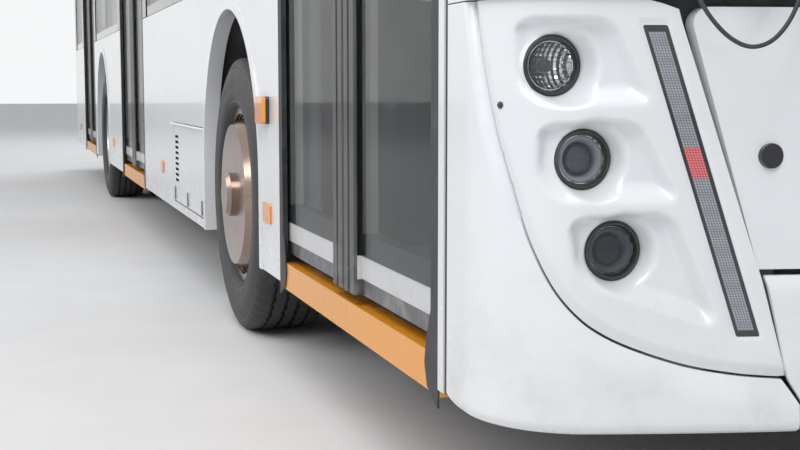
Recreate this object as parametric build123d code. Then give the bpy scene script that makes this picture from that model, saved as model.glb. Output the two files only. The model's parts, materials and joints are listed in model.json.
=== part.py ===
from build123d import *
import math
import os

os.makedirs("parts", exist_ok=True)

# City bus, low floor, three doors on the right. Millimetres.
# X forward, Y to the left, Z up. The origin is on the ground under the middle of the bus.

# Body box
length = 12000.0
width = 2500.0
roof_z = 2850.0
skirt_z = 285.0
cant_z = 2480.0
wall = 50.0
roof_corner_r = 300.0
front_x = length / 2
rear_x = -length / 2
side_y = width / 2
rear_joint_inset = 200.0
rear_joint_x = rear_x + rear_joint_inset
rear_bumper_t = 25.0
tail_x = rear_x + rear_bumper_t

# Plan of the front, seen from above: a bowed face and two tight corners
bow_r = 4090.0
corner_r = 200.0
rear_corner_r = 60.0
front_rake = 70.0
front_joint_margin = 15.0
rake_z = 2560.0

# The joint to the side walls lies just behind the corners, also where they lean back
corner_y = side_y - corner_r
corner_x = front_x - bow_r + math.sqrt((bow_r - corner_r) ** 2 - corner_y**2)
front_joint_x = corner_x - front_rake - front_joint_margin

# Lower front
bumper_z = 270.0
bumper_bevel = 8.0
lamp_top_z = 972.0
skin = 30.0
lamp_inset = 12.0
panel_gap = 5.0
flap_top_z = 955.0
flap_bottom_z = 539.0
flap_bottom_gap = 10.0
flap_top_y = 957.0
flap_bottom_y = 836.0
flap_corner_r = 26.0
flap_skin = 25.0
flap_hinge_in = 16.0
flap_hinge_half = 150.0
flap_cap_y = 821.0
flap_cap_z = 721.0
flap_cap_r = 20.0
flap_cap_out = 5.0
bumper_joint_y = 768.0
lamp_mouth_y = 973.0
lamp_mouth_z = 940.0
lamp_tip_y = 794.0
lamp_tip_z = 362.0

nose_low_z = 290.0
nose_low_h = 60.0
nose_high_h = 40.0
nose_bar = 40.0
nose_post_y = 730.0

# Round lamps: each in a cone that opens forwards, in a shallow dish of the panel
lamp_r = 49.0
lamp_glass_r = 41.0
lamp_dome = 6.0
lamp_depth = 70.0
lamp_back = 51.0
lamp_seat_clearance = 0.3
cone_length = 62.0
cone_flare = 24.0
cone_wall = 8.0
cone_back = 20.0
dish_depth = 14.0
dish_slope = 9.0

# Lamps: name, y, z, and the four rounds of the dish's outline as y inwards and z from the lamp, and radius
lamp_table = (
    ("upper", 1146.0, 864.0, ((-32, 45, 34), (46, 24, 52), (120, -50, 16), (-8, -16, 56))),
    ("middle", 1099.0, 714.0, ((-50, 28, 34), (42, 14, 52), (118, -56, 16), (-26, -16, 58))),
    ("lower", 1050.0, 566.0, ((-54, 28, 34), (46, 14, 54), (132, -104, 20), (-26, -8, 56))),
)

# Light strip: its ends on the right side, and its section
strip_top = (1008.0, 926.0)
strip_bottom = (850.0, 430.0)
strip_width = 36.0
strip_depth = 22.0
strip_clearance = 0.3

# Windscreen and scuttle
windscreen_bottom_z = 1130.0
windscreen_top_z = 2330.0
windscreen_half = 1170.0
windscreen_corner_r = 90.0
glass = 8.0
glass_inset = 4.0
glass_clearance = 0.3

wiper_y = 880.0
wiper_z = 1010.0
wiper_arm_y = 560.0
wiper_blade_z = 1165.0
wiper_blade_y0 = 300.0
wiper_blade_y1 = 820.0
wiper_blade_inset = 10.5
wiper_foot_gap = 2.4

# Floor and underframe
floor_z = 340.0
floor_t = 40.0
rail_y = 420.0
rail_w = 90.0
rail_h = 40.0
cross_w = 60.0
cross_end_gap = 60.0
cross_ahead_front = (2000.0, 1200.0)
cross_behind_front = 700.0
cross_pitch = 900.0
cross_behind_rear = (1000.0, 1800.0, 2600.0, 3200.0)

# Axles and wheels
front_overhang = 2700.0
rear_overhang = 3600.0
front_axle_x = front_x - front_overhang
rear_axle_x = rear_x + rear_overhang
axle_z = 465.0
tyre_r = 465.0
tyre_w = 270.0
rim_bead_r = 285.0
rim_w = 210.0
flange_h = 12.0
flange_t = 8.0
rim_wall = 10.0
rim_plate_w = 28.0
front_plate_at = 26.0
spindle_l = 60.0

# Polished cover of the front wheel: a raised plate with a hub cap, and slots between it and the rim
cover_r = 238.0
cover_foot_r = 260.0
cover_foot_at = 92.0
cover_at = 135.0
cover_t = 6.0
cap_r = 75.0
cap_at = 165.0
cap_bevel = 13.0
slot_r = (262.0, 273.0)
slot_count = 6
slot_bridge = 40.0
slot_turn = 9.0
tyre_seat_clearance = 0.3
front_wheel_y = 1105.0
rear_wheel_outer_y = 1100.0
twin_pitch = 310.0
twin_plate_in = 60.0
twin_hub_r = 120.0
arch_r = 545.0
arch_z = 545.0
arch_lip_w = 38.0
arch_lip_t = 5.0
wheel_box_r = 570.0
wheel_box_t = 20.0
front_box_inner_y = 600.0
rear_box_inner_y = 480.0

# Steering: kingpins, arms and tie rod
kingpin_y = 925.0
kingpin_r = 20.0
kingpin_clearance = 0.05
eye_r = 42.0
eye_h = 130.0
lug_h = 26.0
lug_gap = 0.3
beam_z = 225.0
beam_h = 60.0
beam_w = 90.0
pad_gap = 0.3
spindle_r = 35.0
spindle_clearance = 0.05
steering_arm_x = 190.0
tie_rod_z = 225.0
tie_rod_r = 16.0
tie_pin_r = 10.0
tie_pin_clearance = 0.05

# Doors: name, rear jamb x, front jamb x
door_w = 1390.0
door_1_setback = 478.0
door_2_middle = -127.0
door_3_setback = 1410.0
door_table = (
    ("door_1", front_x - door_1_setback - door_w, front_x - door_1_setback),
    ("door_2", door_2_middle - door_w / 2, door_2_middle + door_w / 2),
    ("door_3", rear_x + door_3_setback, rear_x + door_3_setback + door_w),
)
door_top_z = 2340.0
sill_bottom_z = 270.0
sill_depth = 60.0
leaf_t = 36.0
leaf_inset = 24.0
leaf_glass_t = 5.0
leaf_side_gap = 20.0
leaf_middle_gap = 6.0
leaf_top_gap = 8.0
near_stile_w = 20.0
far_stile_w = 98.0
leaf_rail_h = 55.0
leaf_rail_top_z = 505.0
leaf_glass_z = 455.0
band_z = 403.0
band_t = 3.0
rubber_inset = 4.0
rubber_groove = 8.0
post_offset = 66.0
post_back = 48.0
post_r = 20.0
post_gap = 0.3
arm_h = 14.0
arm_w = 40.0
arm_gap = 6.0
post_top = 20.0
pin_r = 9.0
pin_clearance = 0.05
bracket_h = 14.0
bracket_r = 25.0

# Side windows: panes bonded into a recess, over openings between pillars
belt_z = 1195.0
belt_gap = 4.0
panel_joint = 0.3
front_joint_w = 18.0
window_top_z = 2250.0
window_end_gap = 170.0
pane_gap = 6.0
pillar_half = 35.0
sill_rail_h = 50.0
window_corner_r = 60.0
engine_bay_l = 1550.0
driver_window_w = 810.0

# Rows of side windows: side, rear end x, front end x, panes
door_1_rear, door_1_front = door_table[0][1:]
door_2_rear, door_2_front = door_table[1][1:]
door_3_rear, door_3_front = door_table[2][1:]
window_rows = (
    (-1, door_2_front + window_end_gap, door_1_rear - window_end_gap, 3),
    (-1, door_3_front + window_end_gap, door_2_rear - window_end_gap, 2),
    (-1, rear_joint_x + window_end_gap / 2, door_3_rear - window_end_gap, 1),
    (1, rear_x + engine_bay_l, front_joint_x - window_end_gap - driver_window_w, 7),
    (1, front_joint_x - window_end_gap / 2 - driver_window_w, front_joint_x - window_end_gap / 2, 1),
)

# Side hatch behind the front wheel
hatch_w = 927.0
hatch_arch_gap = 6.0
hatch_x1 = front_axle_x - arch_r - arch_lip_w - hatch_arch_gap
hatch_x0 = hatch_x1 - hatch_w
hatch_z0 = 319.0
hatch_z1 = 675.0
hatch_gap = 6.0
hatch_t = 20.0
louvre_from_rear = 70.0
louvre_margin = 95.0
louvre_count = 9
louvre_pitch = 24.0
louvre_w = 110.0
louvre_depth = 8.0
latch_w = 26.0
latch_h = 60.0
latch_t = 4.0
latch_from_end = 60.0
latch_up = 40.0
latch_table = (
    (hatch_x0 + latch_from_end, hatch_z0 + latch_up),
    ((hatch_x0 + hatch_x1) / 2, hatch_z0 + latch_up),
    (hatch_x1 - latch_from_end, hatch_z0 + latch_up),
)
hinge_r = 6.0
hinge_pin_r = 3.0
hinge_clearance = 0.05
hinge_out = 3.0
hinge_drop = 2.0
hinge_end = 30.0
hinge_inside = 8.0
lid_t = 30.0
rear_bumper_h = 190.0
rear_bumper_l = 80.0
rear_bumper_x = rear_x + rear_bumper_l
bumper_gap = 0.3

# Rear
engine_lid_y0 = -500.0
engine_lid_y1 = 1050.0
engine_lid_z0 = 520.0
engine_lid_z1 = 1330.0
rear_window_half = 1000.0
rear_window_z0 = 1450.0
rear_window_z1 = 2250.0
rear_lamp_r = 48.0
rear_lamp_y = 1130.0
rear_lamp_heights = (2420.0, 760.0, 890.0)
engine_size = (900.0, 800.0, 900.0)
engine_rear_gap = 220.0
engine_y = 650.0
engine_at = (rear_x + engine_rear_gap + engine_size[0] / 2, engine_y, floor_z + engine_size[2] / 2)
lid_louvre_count = 6
lid_louvre_pitch = 70.0
lid_louvre_h = 30.0
lid_louvre_up = 200.0
lid_louvre_margin = 150.0

# Grille of the radiator, low on the left at the back
grille_l = 900.0
grille_h = 520.0
grille_z0 = 560.0
grille_from_rear = 640.0
grille_t = 8.0
grille_border = 40.0
grille_slots = 8
grille_bar = 28.0

# Roof
roof_unit_l = 3000.0
roof_unit_half = 800.0
roof_unit_h = 200.0
roof_unit_corner_r = 120.0
roof_unit_bevel = 60.0
roof_hatch_h = 50.0
roof_hatch_lap = 40.0
roof_hatch_table = (("front", front_axle_x - 300.0), ("rear", rear_axle_x - 1200.0))
roof_hatch_size = 700.0

# Inside
seat_w = 880.0
seat_d = 430.0
seat_h = 430.0
seat_back_h = 560.0
seat_t = 60.0
seat_lean = 70.0
seat_round = 24.0
seat_top_round = 60.0
seat_split_w = 24.0
seat_split_up = 120.0
seat_leg = (240.0, 80.0)
headrest = (60.0, 260.0, 170.0)
headrest_gap = 30.0
headrest_post_r = 8.0
rail_r = 17.0
hand_rail_y = 275.0
hand_rail_z = 1950.0


def box(x0, x1, y0, y1, z0, z1):
    """A block between two corners."""
    centre = Location(((x0 + x1) / 2, (y0 + y1) / 2, (z0 + z1) / 2))
    return centre * Box(abs(x1 - x0), abs(y1 - y0), abs(z1 - z0))


def rod(start, end, radius):
    """A round bar from one point to another."""
    a = Vector(*start)
    b = Vector(*end)
    plane = Plane(origin=a, z_dir=b - a)
    return extrude(plane * Circle(radius), (b - a).length)


def side_face(points, corner=0.0):
    """A polygon in X and Z as a face, its corners rounded."""
    face = make_face(Plane.XZ * Polyline(*points, close=True))
    return fillet(face.vertices(), corner) if corner else face


def through_side(x0, x1, z0, z1, corner=0.0):
    """A prism along Y over the whole width, to cut the side walls."""
    shape = Rectangle(x1 - x0, z1 - z0) if corner == 0 else RectangleRounded(x1 - x0, z1 - z0, corner)
    face = Plane(origin=((x0 + x1) / 2, width, (z0 + z1) / 2), x_dir=(1, 0, 0), z_dir=(0, -1, 0)) * shape
    return extrude(face, 2 * width)


def both_sides(shape):
    """The shape and its mirror image on the other side of the bus."""
    return [shape, mirror(shape, Plane.XZ)]


def save(name, shapes):
    """Writes one node from a shape or a list of shapes."""
    solids = []
    for shape in shapes if isinstance(shapes, (list, tuple)) else [shapes]:
        solids.extend(shape.solids())
    part = solids[0] if len(solids) == 1 else Compound(children=solids)
    export_step(part, f"parts/{name}.step")


def hinge_pair(start, end):
    """A lid's barrel between two points, and the pin with its end knuckles beyond them."""
    a = Vector(*start)
    b = Vector(*end)
    way = (b - a).normalized()
    barrel = rod(tuple(a + way * hinge_inside), tuple(b - way * hinge_inside), hinge_r)
    barrel -= rod(tuple(a), tuple(b), hinge_pin_r + hinge_clearance)
    fixed = rod(tuple(a), tuple(b), hinge_pin_r)
    fixed += rod(tuple(a - way * hinge_end), tuple(a), hinge_r)
    fixed += rod(tuple(b), tuple(b + way * hinge_end), hinge_r)
    return barrel, fixed


def front_outline(z, inset=0.0, back_x=front_joint_x, shift=0.0):
    """The plan of the front at height z as a face, inset all round but open at the back."""
    half = side_y - inset
    radius = corner_r - inset
    nose = front_x - shift - inset
    yc = half - radius
    face_r = bow_r - inset
    xc = nose - face_r + math.sqrt((face_r - radius) ** 2 - yc**2)
    yt = face_r * yc / (face_r - radius)
    xt = nose - face_r + math.sqrt(face_r**2 - yt**2)
    middle = xc + radius * math.cos(math.radians(45))
    middle_y = yc + radius * math.sin(math.radians(45))
    edges = [
        Line((back_x, -half, z), (xc, -half, z)),
        ThreePointArc((xc, -half, z), (middle, -middle_y, z), (xt, -yt, z)),
        ThreePointArc((xt, -yt, z), (nose, 0, z), (xt, yt, z)),
        ThreePointArc((xt, yt, z), (middle, middle_y, z), (xc, half, z)),
        Line((xc, half, z), (back_x, half, z)),
        Line((back_x, half, z), (back_x, -half, z)),
    ]
    return make_face(edges)


def front_prism(z0, z1, inset=0.0, back_x=front_joint_x):
    """The front's plan between two heights."""
    return extrude(front_outline(z0, inset, back_x), z1 - z0)


def yz_prism(points_or_wire, x0=front_joint_x - 100, x1=front_x + 100):
    """A prism along X over an outline given in Y and Z."""
    wire = points_or_wire
    if isinstance(points_or_wire, (list, tuple)):
        wire = Polyline(*[(x0, y, z) for y, z in points_or_wire], close=True)
    return extrude(make_face(wire), x1 - x0, dir=(1, 0, 0))


# Roof profile and the shell of the roof
def roof_face(inset, x):
    """The body's cross-section above the cant rail as a face at one x."""
    half = side_y - inset
    top = roof_z - inset
    radius = roof_corner_r - inset
    low = cant_z
    diagonal = radius * math.sin(math.radians(45))
    edges = [
        Line((x, -half, low), (x, -half, top - radius)),
        ThreePointArc(
            (x, -half, top - radius),
            (x, -half + radius - diagonal, top - radius + diagonal),
            (x, -half + radius, top),
        ),
        Line((x, -half + radius, top), (x, half - radius, top)),
        ThreePointArc(
            (x, half - radius, top),
            (x, half - radius + diagonal, top - radius + diagonal),
            (x, half, top - radius),
        ),
        Line((x, half, top - radius), (x, half, low)),
        Line((x, half, low), (x, -half, low)),
    ]
    return make_face(edges)


def roof_shell():
    span = front_joint_x - rear_joint_x
    outer = extrude(roof_face(0.0, rear_joint_x), span, dir=(1, 0, 0))
    inner = extrude(roof_face(wall, rear_joint_x), span, dir=(1, 0, 0))
    shell = outer - inner
    for name, x in roof_hatch_table:
        half = roof_hatch_size / 2 - roof_hatch_lap
        shell -= box(x - half, x + half, -half, half, roof_z - 2 * wall, roof_z + wall)
    return shell


save("roof", roof_shell())


def roof_equipment():
    x1 = roof_unit_l / 2
    unit = box(-x1, x1, -roof_unit_half, roof_unit_half, roof_z, roof_z + roof_unit_h)
    unit = fillet(unit.edges().filter_by(Axis.Z), roof_unit_corner_r)
    unit = chamfer(unit.faces().sort_by(Axis.Z)[-1].edges(), roof_unit_bevel)
    return unit


roof_hatches = [roof_equipment()]
for name, x in roof_hatch_table:
    half = roof_hatch_size / 2
    lid = box(x - half, x + half, -half, half, roof_z, roof_z + roof_hatch_h)
    lid = fillet(lid.edges().filter_by(Axis.Z), 60)
    roof_hatches.append(chamfer(lid.faces().sort_by(Axis.Z)[-1].edges(), 15))
save("roof_units", roof_hatches)


# Side walls: lower panels up to the belt, and a band of windows and pillars above it
def pane_spans(x0, x1, count):
    """The rear and front end of each pane in a row of windows."""
    pitch = (x1 - x0 + pane_gap) / count
    return [(x0 + i * pitch, x0 + (i + 1) * pitch - pane_gap) for i in range(count)]


def side_block(sign, x0, x1, z0, z1, depth=wall, start=0.0):
    """A block of the side wall, from start to depth behind its outer face."""
    return box(x0, x1, sign * (side_y - start), sign * (side_y - depth), z0, z1)


def arch_prism(x, radius):
    """A wheel arch as a prism over the whole width: round above, upright below."""
    plane = Plane(origin=(x, width, arch_z), x_dir=(1, 0, 0), z_dir=(0, -1, 0))
    return extrude(plane * Circle(radius), 2 * width) + box(x - radius, x + radius, -width, width, 0, arch_z)


def arch_lip(sign, x):
    """The flange that stands proud of the side round a wheel arch."""
    ring = arch_prism(x, arch_r + arch_lip_w) - arch_prism(x, arch_r)
    return ring & side_block(sign, x - length, x + length, skirt_z, belt_z, 1, -arch_lip_t)


def side_wall(sign, doors):
    """One side as its panels: below the belt, the window band, and the cove above doors and windows."""
    front_x1 = front_joint_x - front_joint_w
    lower = side_block(sign, rear_joint_x, front_x1, skirt_z, belt_z - belt_gap)
    band = side_block(sign, rear_joint_x, front_x1, belt_z, door_top_z)
    cove = side_block(sign, rear_joint_x, front_x1, door_top_z + panel_joint, cant_z)
    for side, x0, x1, count in window_rows:
        if side != sign:
            continue
        band -= side_block(sign, x0, x1, belt_z - 1, window_top_z, glass_inset + glass + glass_clearance, -1)
        for pane_x0, pane_x1 in pane_spans(x0, x1, count):
            hole_x = (pane_x0 + pillar_half, pane_x1 - pillar_half)
            band -= through_side(*hole_x, belt_z + sill_rail_h, window_top_z - sill_rail_h, window_corner_r)
    for name, x0, x1 in doors:
        lower -= through_side(x0, x1, skirt_z - wall, belt_z)
        band -= through_side(x0, x1, belt_z - 1, door_top_z + 1)
    for x in (front_axle_x, rear_axle_x):
        lower -= arch_prism(x, arch_r)
        lower += arch_lip(sign, x)
    return lower, band, cove


right_lower, right_band, right_cove = side_wall(-1, door_table)
right_lower -= box(hatch_x0, hatch_x1, -side_y - 1, -side_y + wall + 1, hatch_z0, hatch_z1)
save("side_left", side_wall(1, ()))


def pane(sign, x0, x1):
    """One pane in its recess, a little behind the side's outer face."""
    low = belt_z + glass_clearance
    return side_block(sign, x0, x1, low, window_top_z - glass_clearance, glass_inset + glass, glass_inset)


panes = [
    pane(sign, x0 + (i == 0) * glass_clearance, x1 - (i == count - 1) * glass_clearance)
    for sign, row_x0, row_x1, count in window_rows
    for i, (x0, x1) in enumerate(pane_spans(row_x0, row_x1, count))
]


# Front above the lamps: pillars, scuttle and header
def raked(inset, top_z=roof_z):
    """The front from the lamp panels up to the roof, leaning back with height."""
    low = front_outline(lamp_top_z, inset)
    lean = front_rake * (top_z - lamp_top_z) / (roof_z - lamp_top_z)
    high = front_outline(top_z, inset, shift=lean)
    return loft([low, high], ruled=True)


def dome(inset):
    """What lies under the roof's crown, sides and rounded front edge."""
    half = side_y - inset
    body = box(front_joint_x, front_x, -half, half, lamp_top_z, cant_z)
    crown = extrude(roof_face(inset, front_joint_x), front_x - front_joint_x, dir=(1, 0, 0))
    radius = roof_z - rake_z
    nose = front_x - front_rake * (rake_z - lamp_top_z) / (roof_z - lamp_top_z) - inset
    x_top = nose - radius
    slope = radius * math.sin(math.radians(45))
    edges = [
        Line((front_joint_x, 0, lamp_top_z), (front_x, 0, lamp_top_z)),
        Line((front_x, 0, lamp_top_z), (front_x, 0, rake_z - inset)),
        Line((front_x, 0, rake_z - inset), (nose, 0, rake_z - inset)),
        ThreePointArc(
            (nose, 0, rake_z - inset),
            (x_top + slope, 0, rake_z - inset + slope),
            (x_top, 0, roof_z - inset),
        ),
        Line((x_top, 0, roof_z - inset), (front_joint_x, 0, roof_z - inset)),
        Line((front_joint_x, 0, roof_z - inset), (front_joint_x, 0, lamp_top_z)),
    ]
    profile = extrude(make_face(edges), side_y, both=True)
    return (body + crown) & profile


windscreen_face = Plane(
    origin=(front_joint_x + wall, 0, (windscreen_bottom_z + windscreen_top_z) / 2), x_dir=(0, 1, 0), z_dir=(1, 0, 0)
)


def windscreen_prism(grow):
    shape = RectangleRounded(
        2 * (windscreen_half + grow), windscreen_top_z - windscreen_bottom_z + 2 * grow, windscreen_corner_r + grow
    )
    return extrude(windscreen_face * shape, front_x)


front_shell = raked(0.0) & dome(0.0)
front_shell -= raked(wall) & dome(wall)
front_shell -= windscreen_prism(0.0)
windscreen = (raked(glass_inset) - raked(glass_inset + glass)) & windscreen_prism(-glass_clearance)
save("windscreen", windscreen)


# Lower front: one skin split into lamp panels, flap, bumper middle and bumper corners
def lamp_outline(grow, sign):
    """The lamp panel's outline in Y and Z, grown all round by about that much."""
    x = front_joint_x - 100
    g = grow

    def p(y, z):
        return (x, sign * y, z)

    top = lamp_top_z + g
    side = [
        p(1246 + g, top),
        p(1238 + g, 800),
        p(1189 + 0.87 * g, 579 - 0.5 * g),
        p(1115 + 0.6 * g, 482 - 0.8 * g),
        p(990 + 0.4 * g, 406 - 0.9 * g),
        p(905, 379 - g),
        p(lamp_tip_y - 1.2 * g, lamp_tip_z - g),
    ]
    edges = [
        ThreePointArc(side[0], side[1], side[2]),
        ThreePointArc(side[2], side[3], side[4]),
        ThreePointArc(side[4], side[5], side[6]),
        Line(side[6], p(lamp_mouth_y - g, lamp_mouth_z)),
        Line(p(lamp_mouth_y - g, lamp_mouth_z), p(lamp_mouth_y - g, top)),
        Line(p(lamp_mouth_y - g, top), side[0]),
    ]
    return Wire(edges)


def lower_band(outer_inset, thickness):
    z1 = lamp_top_z
    return front_prism(bumper_z, z1, outer_inset) - front_prism(bumper_z, z1, outer_inset + thickness)


def face_x(y, inset=0.0):
    """How far forward the lower front's face is at this y, at an inset from the bumper's outer face."""
    radius = corner_r - inset
    yc = side_y - corner_r
    xc = front_x - bow_r + math.sqrt((bow_r - corner_r) ** 2 - yc**2)
    bow = bow_r - inset
    if y <= bow_r * yc / (bow_r - corner_r):
        return front_x - bow_r + math.sqrt(bow**2 - y**2)
    return xc + math.sqrt(radius**2 - (y - yc) ** 2)


def lamp_plane(y, z):
    """The plane of a lamp's rim on the right side, facing forward, a little behind the panel at its outer edge."""
    return Plane(origin=(face_x(y) - lamp_back, -y, z), x_dir=(0, 1, 0), z_dir=(1, 0, 0))


def lamp_body(y, z):
    """A round lamp: a domed glass inside a bezel, on its housing."""
    edges = [
        ThreePointArc((0, 0, lamp_dome), (lamp_glass_r * 0.6, 0, lamp_dome * 0.62), (lamp_glass_r, 0, -3)),
        Line((lamp_glass_r, 0, -3), (lamp_glass_r + 3, 0, 3)),
        Line((lamp_glass_r + 3, 0, 3), (lamp_r, 0, 0)),
        Line((lamp_r, 0, 0), (lamp_r, 0, -lamp_depth)),
        Line((lamp_r, 0, -lamp_depth), (0, 0, -lamp_depth)),
        Line((0, 0, -lamp_depth), (0, 0, lamp_dome)),
    ]
    return lamp_plane(y, z).location * revolve(make_face(edges), Axis.Z)


def lamp_cone(y, z, back, wall=0.0):
    """The cone round a lamp as a solid, from this far behind its rim to in front of the panel."""
    plane = lamp_plane(y, z)
    seat_r = lamp_r + lamp_seat_clearance + wall
    straight = extrude(plane.offset(-back) * Circle(seat_r), back)
    mouth = plane.offset(cone_length) * Circle(lamp_r + cone_flare + wall)
    return straight + loft([plane * Circle(seat_r), mouth])


def dish(y, z, rounds):
    """The shallow dish round a lamp: what it takes out of the panel, its floor along the panel's curve."""
    outline = make_hull([(Pos(y - dy, z + dz) * Circle(r)).edge() for dy, dz, r in rounds])
    plane = Plane(origin=(front_x, 0, 0), x_dir=(0, -1, 0), z_dir=(-1, 0, 0))
    prism = extrude(plane * outline, front_x - front_joint_x)
    band = front_prism(bumper_z, lamp_top_z, lamp_inset - 1)
    band -= front_prism(bumper_z, lamp_top_z, lamp_inset + dish_depth)
    hollow = prism & band
    floor_edges = [e for e in hollow.edges() if abs((e @ 0.5).X - face_x(abs((e @ 0.5).Y), lamp_inset + dish_depth)) < 0.2]
    return chamfer(floor_edges, dish_slope)


def strip_prism(extra):
    """The slot of the light strip as a prism along X, on the right side."""
    dy = strip_bottom[0] - strip_top[0]
    dz = strip_bottom[1] - strip_top[1]
    run = math.hypot(dy, dz)
    half = strip_width / 2 + extra
    across = (half * run / abs(dz), 0.0)
    ends = [(strip_top[0], strip_top[1] + extra), (strip_bottom[0], strip_bottom[1] - extra)]
    points = [
        (-(ends[0][0] + across[0]), ends[0][1]),
        (-(ends[1][0] + across[0]), ends[1][1]),
        (-(ends[1][0] - across[0]), ends[1][1]),
        (-(ends[0][0] - across[0]), ends[0][1]),
    ]
    return yz_prism(points)


lamp_skin = lower_band(lamp_inset, skin)
lamp_panel = lamp_skin & yz_prism(lamp_outline(0.0, -1))
inner_front = front_prism(bumper_z, lamp_top_z, lamp_inset)
for name, y, z, rounds in lamp_table:
    lamp_panel += lamp_cone(y, z, cone_back, cone_wall) & inner_front
for name, y, z, rounds in lamp_table:
    lamp_panel -= dish(y, z, rounds)
for name, y, z, rounds in lamp_table:
    lamp_panel -= lamp_cone(y, z, lamp_depth + 1)
save("head_lamps", [s for name, y, z, rounds in lamp_table for s in both_sides(lamp_body(y, z))])


strip = (front_prism(bumper_z, lamp_top_z, lamp_inset) - front_prism(bumper_z, lamp_top_z, lamp_inset + strip_depth))
strip &= strip_prism(0.0)
lamp_panel -= strip_prism(strip_clearance)
save("lamp_panels", both_sides(lamp_panel))
save("light_strips", both_sides(strip))

flap_points = [
    (-flap_top_y, flap_top_z),
    (-flap_bottom_y, flap_bottom_z),
    (flap_bottom_y, flap_bottom_z),
    (flap_top_y, flap_top_z),
]
flap_skin_band = lower_band(lamp_inset, flap_skin)
flap_outline = make_face(Polyline(*[(front_joint_x, y, z) for y, z in flap_points], close=True))
flap_outline = fillet(flap_outline.vertices().group_by(Axis.Z)[-1], flap_corner_r)
front_flap = flap_skin_band & extrude(flap_outline, length, dir=(1, 0, 0))
flap_axis = (front_x - flap_hinge_in, (flap_top_z + lamp_top_z) / 2)
flap_barrel, flap_fixed = hinge_pair(
    (flap_axis[0], -flap_hinge_half, flap_axis[1]),
    (flap_axis[0], flap_hinge_half, flap_axis[1]),
)
flap_barrel += box(
    flap_axis[0] - hinge_r,
    flap_axis[0] + hinge_r - 1,
    -flap_hinge_half + hinge_inside,
    flap_hinge_half - hinge_inside,
    flap_top_z - 10,
    flap_axis[1] - hinge_pin_r - 1,
) & front_prism(bumper_z, lamp_top_z, lamp_inset)
for way in (-1, 1):
    flap_fixed += box(
        flap_axis[0] - hinge_r,
        flap_axis[0],
        way * flap_hinge_half,
        way * (flap_hinge_half + hinge_end),
        flap_axis[1],
        lamp_top_z + 20,
    )
front_shell += flap_fixed
save("front_shell", front_shell)
for sign in (-1, 1):
    cap_x = face_x(flap_cap_y, lamp_inset)
    start = (cap_x - flap_skin / 2, sign * flap_cap_y, flap_cap_z)
    front_flap += rod(start, (cap_x + flap_cap_out, sign * flap_cap_y, flap_cap_z), flap_cap_r)
save("front_flap", front_flap + flap_barrel)

middle_points = [
    (-flap_bottom_y + panel_gap, flap_bottom_z - flap_bottom_gap),
    (-lamp_tip_y + panel_gap, lamp_tip_z),
    (-bumper_joint_y + panel_gap, bumper_z - 1),
    (bumper_joint_y - panel_gap, bumper_z - 1),
    (lamp_tip_y - panel_gap, lamp_tip_z),
    (flap_bottom_y - panel_gap, flap_bottom_z - flap_bottom_gap),
]
bumper_band = lower_band(0.0, skin + lamp_inset)
bumper_middle = bumper_band & yz_prism(middle_points)
corner_points = [
    (-side_y - 1, lamp_top_z),
    (-side_y - 1, bumper_z - 1),
    (-bumper_joint_y, bumper_z - 1),
    (-lamp_tip_y, lamp_tip_z),
    (-flap_bottom_y - 30, flap_bottom_z),
    (-flap_top_y - 30, lamp_top_z),
]
bumper_corner = (bumper_band & yz_prism(corner_points)) - yz_prism(lamp_outline(panel_gap, -1))


def along_panel(edge):
    """Whether an edge of the bumper corner lies on its outer face beside the lamp panel."""
    middle = edge @ 0.5
    beside = lamp_outline(panel_gap, -1).distance_to(Vertex(front_joint_x - 100, middle.Y, middle.Z)) < 1
    return beside and abs(middle.X - face_x(abs(middle.Y))) < 1


bumper_corner = chamfer([edge for edge in bumper_corner.edges() if along_panel(edge)], bumper_bevel)
save("front_bumper", [bumper_middle] + both_sides(bumper_corner))


# Cross member behind the lamp panels and bumper, which carries them
def nose_frame():
    depth = skin + lamp_inset
    band = front_prism(nose_low_z, lamp_top_z, depth) - front_prism(nose_low_z, lamp_top_z, depth + nose_bar)
    keep = box(0, front_x, -side_y, side_y, nose_low_z, nose_low_z + nose_low_h)
    keep += box(0, front_x, -side_y, side_y, lamp_top_z - nose_high_h, lamp_top_z)
    for sign in (-1, 1):
        y = sign * nose_post_y
        keep += box(0, front_x, y - nose_bar, y + nose_bar, nose_low_z, lamp_top_z)
    return band & keep


save("nose_frame", nose_frame())


# Rear shell: upright, with rounded corners
def rear_outline(z, inset):
    half = side_y - inset
    radius = rear_corner_r - inset
    back = tail_x + inset
    face = Pos((back + rear_joint_x) / 2, 0, z) * Rectangle(rear_joint_x - back, 2 * half)
    corners = [v for v in face.vertices() if v.X < back + 1]
    return fillet(corners, radius)


rear_shell = extrude(rear_outline(skirt_z, 0.0), roof_z - skirt_z)
rear_hollow = extrude(rear_outline(skirt_z, wall), roof_z - skirt_z)
crown = extrude(roof_face(0.0, tail_x), rear_joint_x - tail_x, dir=(1, 0, 0))
crown += box(tail_x, rear_joint_x, -side_y, side_y, skirt_z, cant_z)
inner_crown = extrude(roof_face(wall, tail_x), rear_joint_x - tail_x, dir=(1, 0, 0))
inner_crown += box(tail_x, rear_joint_x, -side_y + wall, side_y - wall, skirt_z, cant_z)
rear_shell = (rear_shell & crown) - (rear_hollow & inner_crown)
lid_block = box(tail_x - 1, tail_x + wall + 1, engine_lid_y0, engine_lid_y1, engine_lid_z0, engine_lid_z1)
rear_shell -= lid_block
rear_glass_plane = Plane(origin=(tail_x - 1, 0, (rear_window_z0 + rear_window_z1) / 2), x_dir=(0, 1, 0), z_dir=(1, 0, 0))
rear_hole = RectangleRounded(2 * rear_window_half, rear_window_z1 - rear_window_z0, window_corner_r)
rear_shell -= extrude(rear_glass_plane * rear_hole, wall + 2)
rear_pane = RectangleRounded(
    2 * (rear_window_half - glass_clearance),
    rear_window_z1 - rear_window_z0 - 2 * glass_clearance,
    window_corner_r - glass_clearance,
)
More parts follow.
